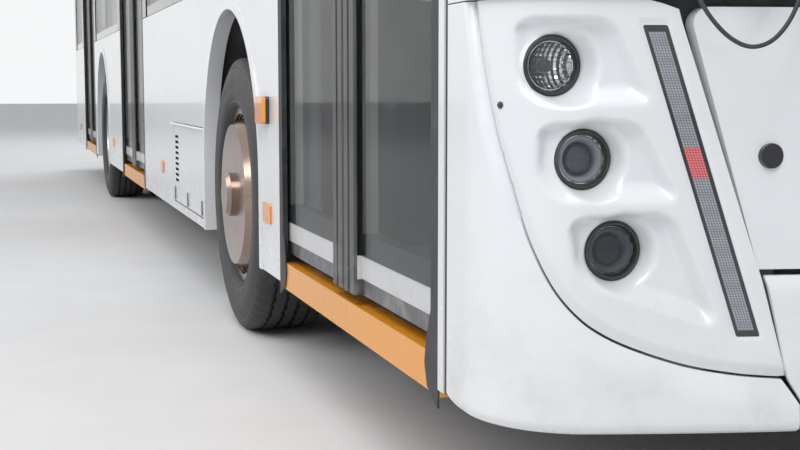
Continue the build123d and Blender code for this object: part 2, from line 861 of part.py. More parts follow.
panes.append(extrude(rear_glass_plane.offset(1 + glass_inset) * rear_pane, glass))
rear_lamps = []
for z in rear_lamp_heights:
    for y in (-rear_lamp_y, rear_lamp_y):
        plane = Plane(origin=(tail_x, y, z), x_dir=(0, 1, 0), z_dir=(1, 0, 0))
        rear_lamps.append(extrude(plane * Circle(rear_lamp_r), wall))
        rear_shell -= extrude(plane.offset(-1) * Circle(rear_lamp_r + lamp_seat_clearance), wall + 2)
save("rear_lamps", rear_lamps)
save("windows", panes)

gap = hatch_gap
engine_lid = box(
    tail_x,
    tail_x + lid_t,
    engine_lid_y0 + gap,
    engine_lid_y1 - gap,
    engine_lid_z0 + gap,
    engine_lid_z1 - gap,
)
lid_louvre_y = (engine_lid_y0 + lid_louvre_margin, engine_lid_y1 - lid_louvre_margin)
for i in range(lid_louvre_count):
    z = engine_lid_z0 + lid_louvre_up + lid_louvre_pitch * i
    engine_lid -= box(tail_x - 1, tail_x + lid_t + 1, *lid_louvre_y, z, z + lid_louvre_h)
lid_axis = (tail_x - hinge_out, engine_lid_z1 - gap - hinge_drop)
barrel, fixed = hinge_pair(
    (lid_axis[0], engine_lid_y0, lid_axis[1]),
    (lid_axis[0], engine_lid_y1, lid_axis[1]),
)
save("engine_lid", engine_lid + barrel)
rear_shell += fixed
save("rear_shell", rear_shell)
bumper_block = rear_outline(skirt_z, -rear_bumper_t) & Pos((rear_x + rear_bumper_x) / 2, 0, skirt_z) * Rectangle(
    rear_bumper_x - rear_x, 2 * width
)
bumper_ring = extrude(bumper_block, rear_bumper_h) - extrude(rear_outline(skirt_z, -bumper_gap), 2 * rear_bumper_h)
bumper_ring &= box(rear_x, rear_bumper_x, -side_y, side_y, skirt_z, roof_z)
save("rear_bumper", bumper_ring)
sx, sy, sz = engine_size
ex, ey, ez = engine_at
save("engine_block", box(ex - sx / 2, ex + sx / 2, ey - sy / 2, ey + sy / 2, ez - sz / 2, ez + sz / 2))


# Side hatch, hinged at its top
side_hatch = box(
    hatch_x0 + gap,
    hatch_x1 - gap,
    -side_y,
    -side_y + hatch_t,
    hatch_z0 + gap,
    hatch_z1 - gap,
)
louvre_low = hatch_z0 + louvre_margin
for i in range(louvre_count):
    z = louvre_low + i * louvre_pitch
    x = hatch_x0 + louvre_from_rear
    side_hatch -= box(x, x + louvre_w, -side_y - 1, -side_y + louvre_depth, z, z + louvre_pitch / 2)
for x, z in latch_table:
    side_hatch += Plane.XZ.offset(side_y - 1) * Pos(x, z) * extrude(RectangleRounded(latch_w, latch_h, latch_w / 3), latch_t + 1)
hatch_axis = (-side_y - hinge_out, hatch_z1 - gap - hinge_drop)
barrel, fixed = hinge_pair(
    (hatch_x0, hatch_axis[0], hatch_axis[1]),
    (hatch_x1, hatch_axis[0], hatch_axis[1]),
)
save("side_hatch", side_hatch + barrel)
save("side_right", [right_lower + fixed, right_band, right_cove])


def radiator_grille():
    """A louvred plate on the left side."""
    x0 = rear_x + grille_from_rear
    grille = box(x0, x0 + grille_l, side_y, side_y + grille_t, grille_z0, grille_z0 + grille_h)
    pitch = (grille_h - 2 * grille_border + grille_bar) / grille_slots
    for i in range(grille_slots):
        z = grille_z0 + grille_border + i * pitch
        grille -= box(x0 + grille_border, x0 + grille_l - grille_border, 0, width, z, z + pitch - grille_bar)
    return grille


save("radiator_grille", radiator_grille())

# Side markers and reflectors: x, z, length, height, how far they stand out
marker_corner_r = 10.0
marker_table = (
    (door_1_rear - 187.0, 763.0, 110.0, 80.0, 22.0),
    (door_1_rear - 167.0, 463.0, 110.0, 60.0, 6.0),
    (hatch_x0 - 412.0, 450.0, 90.0, 60.0, 6.0),
    (rear_axle_x + 926.0, 452.0, 90.0, 60.0, 6.0),
    (rear_x + 700.0, 452.0, 90.0, 60.0, 6.0),
)
markers = []
for x, z, w, h, out in marker_table:
    block = box(x - w / 2, x + w / 2, -side_y - out, -side_y, z - h / 2, z + h / 2)
    markers += both_sides(fillet(block.edges().filter_by(Axis.Y), marker_corner_r))
save("side_markers", markers)


# Floor, wheel boxes and underframe
def wheel_box(x, inner_y):
    """A half drum over the wheel with an inner wall, open to the outside and below."""
    top = side_y - wall
    reach = wheel_box_r + wheel_box_t
    plane = Plane(origin=(x, -inner_y, arch_z), x_dir=(1, 0, 0), z_dir=(0, -1, 0))
    outer = extrude(plane * Circle(reach), top - inner_y)
    outer += box(x - reach, x + reach, -top, -inner_y, floor_z - floor_t, arch_z)
    inner = extrude(plane.offset(wheel_box_t) * Circle(wheel_box_r), top)
    inner += box(x - wheel_box_r, x + wheel_box_r, -top - 1, -inner_y - wheel_box_t, -1, arch_z)
    low = box(x - 2 * reach, x + 2 * reach, -width, 0, -roof_z, floor_z - floor_t)
    return outer - inner - low


wheel_boxes = both_sides(wheel_box(front_axle_x, front_box_inner_y))
wheel_boxes += both_sides(wheel_box(rear_axle_x, rear_box_inner_y))
save("wheel_boxes", wheel_boxes)

half_floor = side_y - wall
floor = box(rear_joint_x, front_joint_x, -half_floor, half_floor, floor_z - floor_t, floor_z)
for x, inner_y in ((front_axle_x, front_box_inner_y), (rear_axle_x, rear_box_inner_y)):
    reach = wheel_box_r + wheel_box_t
    for sign in (-1, 1):
        floor -= box(x - reach, x + reach, sign * inner_y, sign * width, 0, roof_z)
for name, x0, x1 in door_table:
    floor -= box(x0, x1, -width, -side_y + sill_depth, 0, roof_z)
save("floor_deck", floor)

frame_low = floor_z - floor_t - rail_h
rails = []
for sign in (-1, 1):
    rails.append(
        box(
            rear_joint_x + 100,
            front_joint_x - 100,
            sign * rail_y - rail_w / 2,
            sign * rail_y + rail_w / 2,
            frame_low,
            floor_z - floor_t,
        )
    )
underframe = rails[0] + rails[1]
cross_count = int((front_axle_x - cross_behind_front - rear_axle_x) // cross_pitch) + 1
cross_x = [front_axle_x + ahead for ahead in cross_ahead_front]
cross_x += [front_axle_x - cross_behind_front - i * cross_pitch for i in range(cross_count)]
cross_x += [rear_axle_x - behind for behind in cross_behind_rear]
cross_half = half_floor - cross_end_gap
for x in cross_x:
    underframe += box(x - cross_w / 2, x + cross_w / 2, -cross_half, cross_half, frame_low, floor_z - floor_t)
save("chassis_frame", underframe)


# Axles
def axle_beam(x, eye_y):
    """A dropped beam between two uprights that end at the wheel line."""
    beam = box(x - beam_w / 2, x + beam_w / 2, -eye_y, eye_y, beam_z - beam_h / 2, beam_z + beam_h / 2)
    return beam


def axle_pads(x):
    """Spring seats between the beam and the frame's rails."""
    low = beam_z + beam_h / 2
    pads = [Pos(x, sign * rail_y, low) * extrude(Circle(beam_w / 2), frame_low - pad_gap - low) for sign in (-1, 1)]
    return pads[0] + pads[1]


front_upright_y = kingpin_y - 95
front_beam = axle_beam(front_axle_x, front_upright_y + 30)
for sign in (-1, 1):
    upright = box(
        front_axle_x - beam_w / 2,
        front_axle_x + beam_w / 2,
        sign * (front_upright_y - 30),
        sign * (front_upright_y + 30),
        beam_z - beam_h / 2,
        axle_z + eye_h / 2,
    )
    arm = box(
        front_axle_x - 30,
        front_axle_x + 30,
        sign * front_upright_y,
        sign * kingpin_y,
        axle_z - eye_h / 2,
        axle_z + eye_h / 2,
    )
    eye = Pos(front_axle_x, sign * kingpin_y, axle_z - eye_h / 2) * extrude(Circle(eye_r), eye_h)
    hole = Pos(front_axle_x, sign * kingpin_y, 0) * extrude(Circle(kingpin_r + kingpin_clearance), 2 * axle_z)
    front_beam = (front_beam + upright + arm + eye) - hole
front_beam += axle_pads(front_axle_x)
save("front_axle", front_beam)

rear_spindle_y = rear_wheel_outer_y - twin_pitch - tyre_w / 2 - 60
rear_beam = axle_beam(rear_axle_x, rear_spindle_y)
for sign in (-1, 1):
    rear_beam += box(
        rear_axle_x - beam_w / 2,
        rear_axle_x + beam_w / 2,
        sign * (rear_spindle_y - 60),
        sign * rear_spindle_y,
        beam_z - beam_h / 2,
        axle_z + 90,
    )
    rear_beam += rod(
        (rear_axle_x, sign * (rear_spindle_y - 10), axle_z),
        (rear_axle_x, sign * (rear_wheel_outer_y - 20), axle_z),
        spindle_r,
    )
rear_beam += axle_pads(rear_axle_x)
save("rear_axle", rear_beam)


# Knuckles: a fork round the beam's eye, a kingpin, a spindle and a steering arm
def knuckle(sign):
    x = front_axle_x
    y = sign * kingpin_y
    low = axle_z - eye_h / 2 - lug_gap - lug_h
    high = axle_z + eye_h / 2 + lug_gap
    plate_y = sign * (kingpin_y + eye_r + 3)
    body = Pos(x, y, low) * extrude(Circle(eye_r), lug_h)
    body += Pos(x, y, high) * extrude(Circle(eye_r), lug_h)
    for z in (low, high):
        body += box(x - eye_r, x + eye_r, y, plate_y, z, z + lug_h)
    body += box(x - eye_r, x + eye_r, plate_y, plate_y + sign * 18, low, high + lug_h)
    body += Pos(x, y, low) * extrude(Circle(kingpin_r), high + lug_h - low)
    body += rod((x, plate_y + sign * 9, axle_z), (x, sign * (front_wheel_y + spindle_l), axle_z), spindle_r)
    arm_y = sign * kingpin_y
    arm = box(x - steering_arm_x - 22, x, arm_y - 20, arm_y + 20, low - 24, low + 1)
    drop = box(
        x - steering_arm_x - 22, x - steering_arm_x + 22, arm_y - 20, arm_y + 20, tie_rod_z + 26, low
    )
    pin = Pos(x - steering_arm_x, arm_y, tie_rod_z - 26) * extrude(Circle(tie_pin_r), 60)
    return body + arm + drop + pin


for name, sign in (("right", -1), ("left", 1)):
    save(f"knuckle_{name}", knuckle(sign))

tie_x = front_axle_x - steering_arm_x
tie_rod = rod((tie_x, -kingpin_y + 24, tie_rod_z), (tie_x, kingpin_y - 24, tie_rod_z), tie_rod_r)
for sign in (-1, 1):
    tie_rod += Pos(tie_x, sign * kingpin_y, tie_rod_z - 20) * extrude(Circle(30), 40)
for sign in (-1, 1):
    tie_rod -= Pos(tie_x, sign * kingpin_y, tie_rod_z - 60) * extrude(Circle(tie_pin_r + tie_pin_clearance), 120)
save("tie_rod", tie_rod)


# Wheels
def tyre(y, x):
    """One tyre as a revolve: bead, sidewall, shoulder and tread."""
    half = tyre_w / 2
    seat = rim_w / 2 - flange_t - tyre_seat_clearance
    points = [
        (rim_bead_r + tyre_seat_clearance, -seat),
        (rim_bead_r + flange_h + tyre_seat_clearance, -seat),
        (rim_bead_r + flange_h + 4, -rim_w / 2),
        (rim_bead_r + 35, -half + 6),
        ((rim_bead_r + tyre_r) / 2 + 10, -half),
        (tyre_r - 25, -half + 14),
        (tyre_r, -half + 38),
        (tyre_r, half - 38),
        (tyre_r - 25, half - 14),
        ((rim_bead_r + tyre_r) / 2 + 10, half),
        (rim_bead_r + 35, half - 6),
        (rim_bead_r + flange_h + 4, rim_w / 2),
        (rim_bead_r + flange_h + tyre_seat_clearance, seat),
        (rim_bead_r + tyre_seat_clearance, seat),
    ]
    wire = Polyline(*[(x, y + w, axle_z + r) for r, w in points], close=True)
    return revolve(make_face(wire), Axis((x, y, axle_z), (0, 1, 0)))


def round_solid(points, y, x, sign):
    """A solid round the wheel's axis from its outline in radius and distance outwards."""
    wire = Polyline(*[(x, y + sign * w, axle_z + r) for r, w in points], close=True)
    return revolve(make_face(wire), Axis((x, y, axle_z), (0, 1, 0)))


def barrel_outline():
    """The outer side of a rim from its outer edge to its inner edge: two flanges and the seat between."""
    half = rim_w / 2
    lip_r = rim_bead_r + flange_h
    return [
        (rim_bead_r - rim_wall, half),
        (lip_r, half),
        (lip_r, half - flange_t),
        (rim_bead_r, half - flange_t),
        (rim_bead_r, -half + flange_t),
        (lip_r, -half + flange_t),
        (lip_r, -half),
        (rim_bead_r - rim_wall, -half),
    ]


def twin_rim(y, x, sign, plate_at, bore):
    """A rim of the rear axle, dished far in, with its plate on the spindle."""
    low = plate_at - rim_plate_w / 2
    high = plate_at + rim_plate_w / 2
    points = [(bore, low), (bore, high), (rim_bead_r - 4 * rim_wall, high)] + barrel_outline()
    points.append((rim_bead_r - rim_wall, low))
    return round_solid(points, y, x, sign)


def front_rim(y, x, sign, bore):
    """A rim of the front axle with its polished cover: a hollow plate with a hub cap and a ring of slots."""
    inner_r = rim_bead_r - rim_wall
    plate_front = front_plate_at + rim_plate_w
    points = [
        (bore, front_plate_at),
        (bore, spindle_l + 2),
        (0, spindle_l + 2),
        (0, cap_at),
        (cap_r - cap_bevel, cap_at),
        (cap_r, cap_at - cap_bevel),
        (cap_r, cover_at),
        (cover_r, cover_at),
        (cover_foot_r, cover_foot_at),
        (inner_r, cover_foot_at),
    ]
    points += barrel_outline()
    points.append((inner_r, front_plate_at))
    hollow = [
        (cap_r, plate_front),
        (cap_r, cover_at - cover_t),
        (cover_r - cover_t, cover_at - cover_t),
        (cover_foot_r - cover_t, cover_foot_at - cover_t),
        (inner_r - cover_t, cover_foot_at - cover_t),
        (inner_r - cover_t, plate_front),
    ]
    wheel = round_solid(points, y, x, sign) - round_solid(hollow, y, x, sign)
    plane = Plane(origin=(x, y, axle_z), x_dir=(1, 0, 0), z_dir=(0, sign, 0)).offset(cover_foot_at - 2 * cover_t)
    slots = extrude(plane * (Circle(slot_r[1]) - Circle(slot_r[0])), 4 * cover_t)
    for i in range(slot_count):
        turn = Rot(0, 0, slot_turn + i * 360 / slot_count)
        slots -= plane * turn * Pos(slot_r[1], 0, 0) * Box(4 * slot_bridge, slot_bridge, 10 * cover_t)
    return wheel - slots


bore_r = spindle_r + spindle_clearance
for name, sign in (("right", -1), ("left", 1)):
    y = sign * front_wheel_y
    save(f"front_tyre_{name}", tyre(y, front_axle_x))
    save(f"front_rim_{name}", front_rim(y, front_axle_x, sign, bore_r))
    outer_y = sign * rear_wheel_outer_y
    inner_y = sign * (rear_wheel_outer_y - twin_pitch)
    save(f"rear_tyres_{name}", [tyre(outer_y, rear_axle_x), tyre(inner_y, rear_axle_x)])
    twins = twin_rim(outer_y, rear_axle_x, sign, -twin_plate_in, bore_r)
    twins += twin_rim(inner_y, rear_axle_x, -sign, -twin_plate_in, bore_r)
    mid = (outer_y + inner_y) / 2
    hub_half = twin_pitch / 2 - twin_plate_in - rim_plate_w / 2 + 1
    hub = rod((rear_axle_x, mid - hub_half, axle_z), (rear_axle_x, mid + hub_half, axle_z), twin_hub_r)
    hub -= rod((rear_axle_x, mid - twin_pitch, axle_z), (rear_axle_x, mid + twin_pitch, axle_z), bore_r)
    save(f"rear_rims_{name}", twins + hub)


# Doors. Each leaf hangs between two arms of a post that stands inside, beside the jamb. The arms pass under and
# over the leaf. A pin on each, level with the post, carries the leaf, whose far end would run in a rail above.
leaf_w = (door_w - 2 * leaf_side_gap - leaf_middle_gap) / 2
leaf_front_y = -side_y + leaf_inset
leaf_back_y = leaf_front_y + leaf_t
post_y = leaf_front_y + leaf_t / 2 + post_offset
arm_reach = (leaf_w + post_back) / 2
arm_low_z = floor_z + arm_gap
leaf_bottom_z = arm_low_z + arm_h + arm_gap
leaf_top_z = door_top_z - leaf_top_gap
arm_high_z = leaf_top_z + arm_gap


def closing_rubber(far_x, way):
    """The rubber along the leaf's far edge as a plan section with rounded lips and a groove between them."""
    face_y = -side_y + rubber_inset
    back = far_x - way * far_stile_w
    middle = far_x - way * far_stile_w / 2
    r = rubber_groove
    outline = [
        Line((back, leaf_back_y), (back, face_y + r)),
        ThreePointArc((back, face_y + r), (back + way * r * 0.3, face_y + r * 0.3), (back + way * r, face_y)),
        Line((back + way * r, face_y), (middle - way * r, face_y)),
        ThreePointArc((middle - way * r, face_y), (middle, face_y + r), (middle + way * r, face_y)),
        Line((middle + way * r, face_y), (far_x - way * r, face_y)),
        ThreePointArc((far_x - way * r, face_y), (far_x - way * r * 0.3, face_y + r * 0.3), (far_x, face_y + r)),
        Line((far_x, face_y + r), (far_x, leaf_back_y)),
        Line((far_x, leaf_back_y), (back, leaf_back_y)),
    ]
    return extrude(Pos(0, 0, leaf_bottom_z) * make_face(outline), leaf_top_z - leaf_bottom_z, dir=(0, 0, 1))


def door_leaf(near_x, way):
    """A leaf from the end beside its jamb to the middle of the doorway: frame, rubber, pin brackets and glass."""
    far_x = near_x + way * leaf_w
    x0, x1 = sorted((near_x, far_x))
    pin_x = near_x + way * (arm_reach - post_back)
    hole_x = (near_x + way * near_stile_w, far_x - way * far_stile_w)
    leaf = box(x0, x1, leaf_front_y, leaf_back_y, leaf_bottom_z, leaf_top_z)
    leaf -= box(*hole_x, -width, 0, leaf_rail_top_z, leaf_top_z - leaf_rail_h)
    leaf += closing_rubber(far_x, way)
    leaf += box(near_x, hole_x[1], leaf_front_y - band_t, leaf_front_y, band_z, leaf_glass_z)
    for z in (leaf_bottom_z, leaf_top_z - bracket_h):
        bracket = box(pin_x - bracket_r, pin_x + bracket_r, leaf_back_y, post_y, z, z + bracket_h)
        bracket += Pos(pin_x, post_y, z) * extrude(Circle(bracket_r), bracket_h)
        leaf += bracket
    leaf -= Pos(pin_x, post_y, 0) * extrude(Circle(pin_r + pin_clearance), roof_z)
    glass_y = leaf_front_y - glass_clearance
    rubber_x = hole_x[1] - way * glass_clearance
    pane = box(near_x, rubber_x, glass_y - leaf_glass_t, glass_y, leaf_glass_z + glass_clearance, leaf_top_z)
    return [leaf, pane]


def door_arm(near_x, way):
    """A post from the floor to the header with an arm below and above the leaf, each with its pin."""
    post_x = near_x - way * post_back
    pin_x = post_x + way * arm_reach
    post_foot = floor_z + post_gap
    arm = Pos(post_x, post_y, post_foot) * extrude(Circle(post_r), arm_high_z + arm_h + post_top - post_foot)
    for low in (arm_low_z, arm_high_z):
        x0, x1 = sorted((post_x, pin_x))
        arm += box(x0, x1, post_y - arm_w / 2, post_y + arm_w / 2, low, low + arm_h)
        arm += Pos(pin_x, post_y, low) * extrude(Circle(arm_w / 2), arm_h)
    pin_l = arm_gap + bracket_h
    arm += Pos(pin_x, post_y, arm_low_z + arm_h) * extrude(Circle(pin_r), pin_l)
    arm += Pos(pin_x, post_y, arm_high_z - pin_l) * extrude(Circle(pin_r), pin_l)
    return arm


for name, x0, x1 in door_table:
    for end, near_x, way in (("rear", x0 + leaf_side_gap, 1), ("front", x1 - leaf_side_gap, -1)):
        save(f"{name}_leaf_{end}", door_leaf(near_x, way))
        save(f"{name}_arm_{end}", door_arm(near_x, way))

# Sills under the doors, and the rubber seals beside them
sill_inset = 4.0
sill_lip = (4.0, 6.0)
seal_w = 42.0
seal_lip_t = 14.0
seal_body_w = 14.0
seal_foot_z = 250.0


def door_sill(x0, x1):
    """A kick plate with a lip along its top edge."""
    y = -side_y + sill_inset
    sill = box(x0, x1, y, -side_y + sill_depth, sill_bottom_z, floor_z)
    lip_h, lip_t = sill_lip
    return sill + box(x0 + seal_w, x1 - seal_w, y, y + lip_t, floor_z, floor_z + lip_h)


def door_seal(jamb_x, way):
    """A lip in front of the leaf's edge that widens to a foot over the end of the sill, on a body along the jamb."""
    edge = jamb_x + way * seal_w
    outline = [
        (jamb_x, door_top_z),
        (edge, door_top_z),
        (edge, floor_z + 85),
        (edge + way * 26, floor_z + 25),
        (edge + way * 36, floor_z - 20),
        (edge + way * 20, floor_z - 62),
        (jamb_x, seal_foot_z),
    ]
    lip_face = make_face(Polyline(*[(x, -side_y, z) for x, z in outline], close=True))
    lip = extrude(lip_face, sill_inset - panel_joint, dir=(0, 1, 0))
    lip += box(jamb_x, edge, -side_y, -side_y + seal_lip_t, floor_z + 30, door_top_z)
    behind = -side_y + seal_lip_t + panel_joint
    body = box(jamb_x, jamb_x + way * seal_body_w, behind, -side_y + wall, floor_z + panel_joint, door_top_z)
    return [lip, body]


def joint_rubber(sign):
    """The rubber between the side and the front corner, on one side."""
    x0 = front_joint_x - front_joint_w + panel_joint
    return side_block(sign, x0, front_joint_x, skirt_z, cant_z, wall - 5, 3)


sills = [door_sill(x0, x1) for name, x0, x1 in door_table]
seals = [s for name, x0, x1 in door_table for x, way in ((x0, 1), (x1, -1)) for s in door_seal(x, way)]
save("door_sills", sills)
save("door_seals", seals + [joint_rubber(-1), joint_rubber(1)])


# Inside: seats, driver's place, rails
def seat(x, y, w, base_z=floor_z):
    """A seat facing forward on its leg: squab and leaning back, rounded seen from the side and at its top."""
    low = seat_h - seat_t
    rear = -seat_d / 2
    points = [
        (seat_d / 2, low),
        (seat_d / 2, seat_h),
        (rear + seat_t, seat_h),
        (rear + seat_t - seat_lean, seat_h + seat_back_h),
        (rear - seat_lean, seat_h + seat_back_h),
        (rear, low),
    ]
    form = Pos(x, y + w / 2, base_z) * extrude(side_face(points, seat_round), w)
    front_view = Plane(origin=(x - seat_d, y, base_z), x_dir=(0, 1, 0), z_dir=(1, 0, 0))
    form &= extrude(front_view * RectangleRounded(w, 2 * (seat_h + seat_back_h), seat_top_round), 2 * seat_d)
    leg_l, leg_w = seat_leg
    return form + box(x - leg_l / 2, x + leg_l / 2, y - leg_w / 2, y + leg_w / 2, base_z, base_z + low + 1)


def double_seat(x, y):
    """Two places side by side on one leg, with a gap between their backs."""
    gap_top = floor_z + seat_h + seat_back_h
    split = box(x - seat_d, x, y - seat_split_w / 2, y + seat_split_w / 2, floor_z + seat_h + seat_split_up, gap_top + 1)
    return seat(x, y, seat_w) - split


seat_behind_axle = 1070.0
seat_pitch = 800.0
seat_y = side_y - wall - seat_w / 2 - 20


def seat_row(sign, front_limit, rear_limit):
    """Seats on one side, one behind the other, from the front limit back."""
    count = int((front_limit - rear_limit) // seat_pitch) + 1
    return [double_seat(front_limit - i * seat_pitch, sign * seat_y) for i in range(count)]


seats = seat_row(1, front_axle_x - seat_behind_axle, rear_axle_x + seat_behind_axle - 120)
seats += seat_row(1, rear_axle_x - seat_behind_axle, rear_x + engine_bay_l)
seats += seat_row(-1, front_axle_x - seat_behind_axle, door_2_front + seat_pitch)
seats += seat_row(-1, rear_axle_x + seat_behind_axle, rear_axle_x + seat_behind_axle)
seats += seat_row(-1, door_3_rear - 650, door_3_rear - 650)
save("seats", seats)

# Driver's place: podium, seat with a headrest, desk, steering column and the partition behind it
driver_y = 700.0
driver_seat_w = 500.0
driver_seat_x = front_x - 1550.0
podium_h = 150.0
podium_x0 = front_x - 1850.0
desk_x0 = front_x - 850.0
desk_l = 350.0
desk_z = 1080.0
desk_bevel = 150.0
cab_y0 = 200.0
cab_y1 = side_y - wall - 50.0
partition_x0 = front_x - 1920.0
partition_t = 40.0
partition_z = 2000.0
steering_centre = (front_x - 1050.0, driver_y, 1120.0)
column_foot = (front_x - 770.0, driver_y, 700.0)
column_r = 32.0
wheel_ring = (225.0, 14.0)
wheel_hub = (45.0, 50.0)
spoke = (200.0, 30.0, 12.0)
spoke_from = 115.0
spoke_sunk = 8.0
shaft_r = 12.0
shaft_clearance = 0.05
shaft_h = 120.0
hub_drop = 30.0


def driver_seat():
    """The driver's seat: one wide place with a headrest on two posts."""
    base = floor_z + podium_h
    deep, wide, high = headrest
    top = base + seat_h + seat_back_h
    x = driver_seat_x - seat_d / 2 - seat_lean + seat_t / 2
    rest = Pos(x, driver_y, top + headrest_gap + high / 2) * Box(deep, wide, high)
    rest = fillet(rest.edges(), seat_round)
    for side in (-1, 1):
        y = driver_y + side * wide / 4
        rest += rod((x, y, top - seat_t), (x, y, top + headrest_gap + high / 2), headrest_post_r)
    return seat(driver_seat_x, driver_y, driver_seat_w, base) + rest


save("driver_seat", driver_seat())

desk = box(desk_x0, desk_x0 + desk_l, cab_y0, cab_y1, floor_z, desk_z)
desk = chamfer(desk.edges().filter_by(Axis.Y).group_by(Axis.Z)[-1].sort_by(Axis.X)[0], desk_bevel)
podium = box(podium_x0, desk_x0, cab_y0, cab_y1, floor_z, floor_z + podium_h)
partition_y1 = side_y - wall - 10.0
partition = box(partition_x0, partition_x0 + partition_t, cab_y0, partition_y1, floor_z, partition_z)


def steering_plane():
    a = Vector(*steering_centre)
    return Plane(origin=a, z_dir=(a - Vector(*column_foot)).normalized())


def steering_wheel():
    plane = steering_plane()
    wheel = plane * Torus(*wheel_ring)
    wheel += extrude(plane.offset(-hub_drop) * Circle(wheel_hub[0]), wheel_hub[1])
    for angle in (90, 210, 330):
        wheel += plane * Rot(0, 0, angle) * Pos(spoke_from, 0, -spoke_sunk) * Box(*spoke)
    wheel += extrude(plane.offset(-hub_drop - shaft_h) * Circle(shaft_r), shaft_h + 5)
    return wheel


save("steering_wheel", steering_wheel())
plane = steering_plane()
run = (Vector(*steering_centre) - Vector(*column_foot)).length
column = extrude(plane.offset(-run) * Circle(column_r), run - hub_drop - panel_joint)
column -= extrude(plane.offset(-hub_drop - shaft_h - 5) * Circle(shaft_r + shaft_clearance), shaft_h + 5)
save("cab_desk", [desk + podium + column, partition])

hand_rail_x = (door_3_rear + 50, door_1_rear - 350)
stanchions = 9
hand_rails = []
for sign in (-1, 1):
    run = rod((hand_rail_x[0], sign * hand_rail_y, hand_rail_z), (hand_rail_x[1], sign * hand_rail_y, hand_rail_z), rail_r)
    for i in range(stanchions):
        x = hand_rail_x[0] + (hand_rail_x[1] - hand_rail_x[0]) * i / (stanchions - 1)
        run += rod((x, sign * hand_rail_y, floor_z), (x, sign * hand_rail_y, roof_z - wall), rail_r)
    hand_rails.append(run)
save("hand_rails", hand_rails)

# Mirrors: an arm from each front pillar and a housing
mirror_x = front_x - 200.0
mirror_y = side_y + 140.0
mirror_root_x = front_x - 400.0
mirror_arm_z = 2250.0
mirror_arm_r = 16.0
mirror_foot_r = 24.0
mirror_foot_l = 60.0
mirror_size = (90.0, 220.0, 390.0)
mirror_top_z = 2110.0
mirror_round = 40.0
mirror_edge = 14.0


def mirror_right():
    """The right mirror: a foot on the pillar, a bent arm and a rounded housing that hangs from it."""
    deep, wide, high = mirror_size
    root = (mirror_root_x, -side_y - panel_joint, mirror_arm_z)
    foot_end = (mirror_root_x, -side_y - mirror_foot_l, mirror_arm_z)
    bend = (mirror_root_x, -side_y - 0.75 * mirror_foot_l, mirror_arm_z)
    arm_end = (mirror_x, -mirror_y, mirror_arm_z)
    hang = (mirror_x, -mirror_y, mirror_top_z - mirror_round)
    stalk = rod(root, foot_end, mirror_foot_r) + rod(bend, arm_end, mirror_arm_r) + rod(arm_end, hang, mirror_arm_r)
    stalk += Pos(*arm_end) * Sphere(mirror_arm_r)
    housing = Pos(mirror_x, -mirror_y, mirror_top_z - high / 2) * Box(deep, wide, high)
    housing = fillet(housing.edges().filter_by(Axis.X), mirror_round)
    housing = chamfer(housing.faces().sort_by(Axis.X)[-1].edges(), mirror_edge)
    return stalk + housing


save("mirrors", both_sides(mirror_right()))

# Wipers: spindle, arm and a blade that follows the windscreen, on each side
def wiper():
    foot_x = face_x(wiper_y) + wiper_foot_gap
    end = (face_x(wiper_arm_y) + 5, -wiper_arm_y, wiper_blade_z)
    spindle = rod((foot_x, -wiper_y, wiper_z), (foot_x + 34, -wiper_y, wiper_z), 15)
    arm = rod((foot_x + 26, -wiper_y, wiper_z), end, 7)
    low, high = wiper_blade_z - 8, wiper_blade_z + 8
    blade = front_prism(low, high, wiper_blade_inset - 10) - front_prism(low, high, wiper_blade_inset)
    blade &= box(front_joint_x, length, -wiper_blade_y1, -wiper_blade_y0, low, high)
    return spindle + arm + blade


save("wipers", both_sides(wiper()))

# Washer hose: a loop from a grommet in the scuttle round the right wiper's spindle and back
hose_r = 3.5
hose_route = (
    (5878.3, -988.0, 1032.0),
    (5908.0, -992.0, 1027.0),
    (5932.0, -992.0, 1005.0),
    (5943.0, -984.0, 972.0),
    (5952.0, -965.0, 935.0),
    (5961.0, -936.0, 903.0),
    (5967.0, -903.0, 888.0),
    (5968.0, -869.0, 896.0),
    (5967.0, -842.0, 920.0),
    (5965.0, -822.0, 952.0),
    (5960.0, -810.0, 984.0),
    (5948.0, -809.0, 1010.0),
    (5919.3, -805.0, 1016.0),
)


def hose():
    corners = []
    for a, b, c in zip(hose_route, hose_route[1:], hose_route[2:]):
        before = Vector(*b) - Vector(*a)
        after = Vector(*c) - Vector(*b)
        turn = math.radians(before.get_angle(after))
        corners.append(0.45 * min(before.length, after.length) / math.tan(turn / 2))
    print("hose radii", [round(r) for r in corners])
    path = FilletPolyline(*hose_route, radius=corners)
    tube = sweep(Plane(origin=path @ 0, z_dir=path % 0) * Circle(hose_r), path)
    print("hose length", round(path.length), "volume share", round(tube.volume / (math.pi * hose_r**2 * path.length), 4))
    return tube


save("washer_hose", hose())
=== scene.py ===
import json
import math

import bmesh
import bpy
from mathutils import Matrix, Vector
from mathutils.geometry import delaunay_2d_cdt
from mathutils.kdtree import KDTree

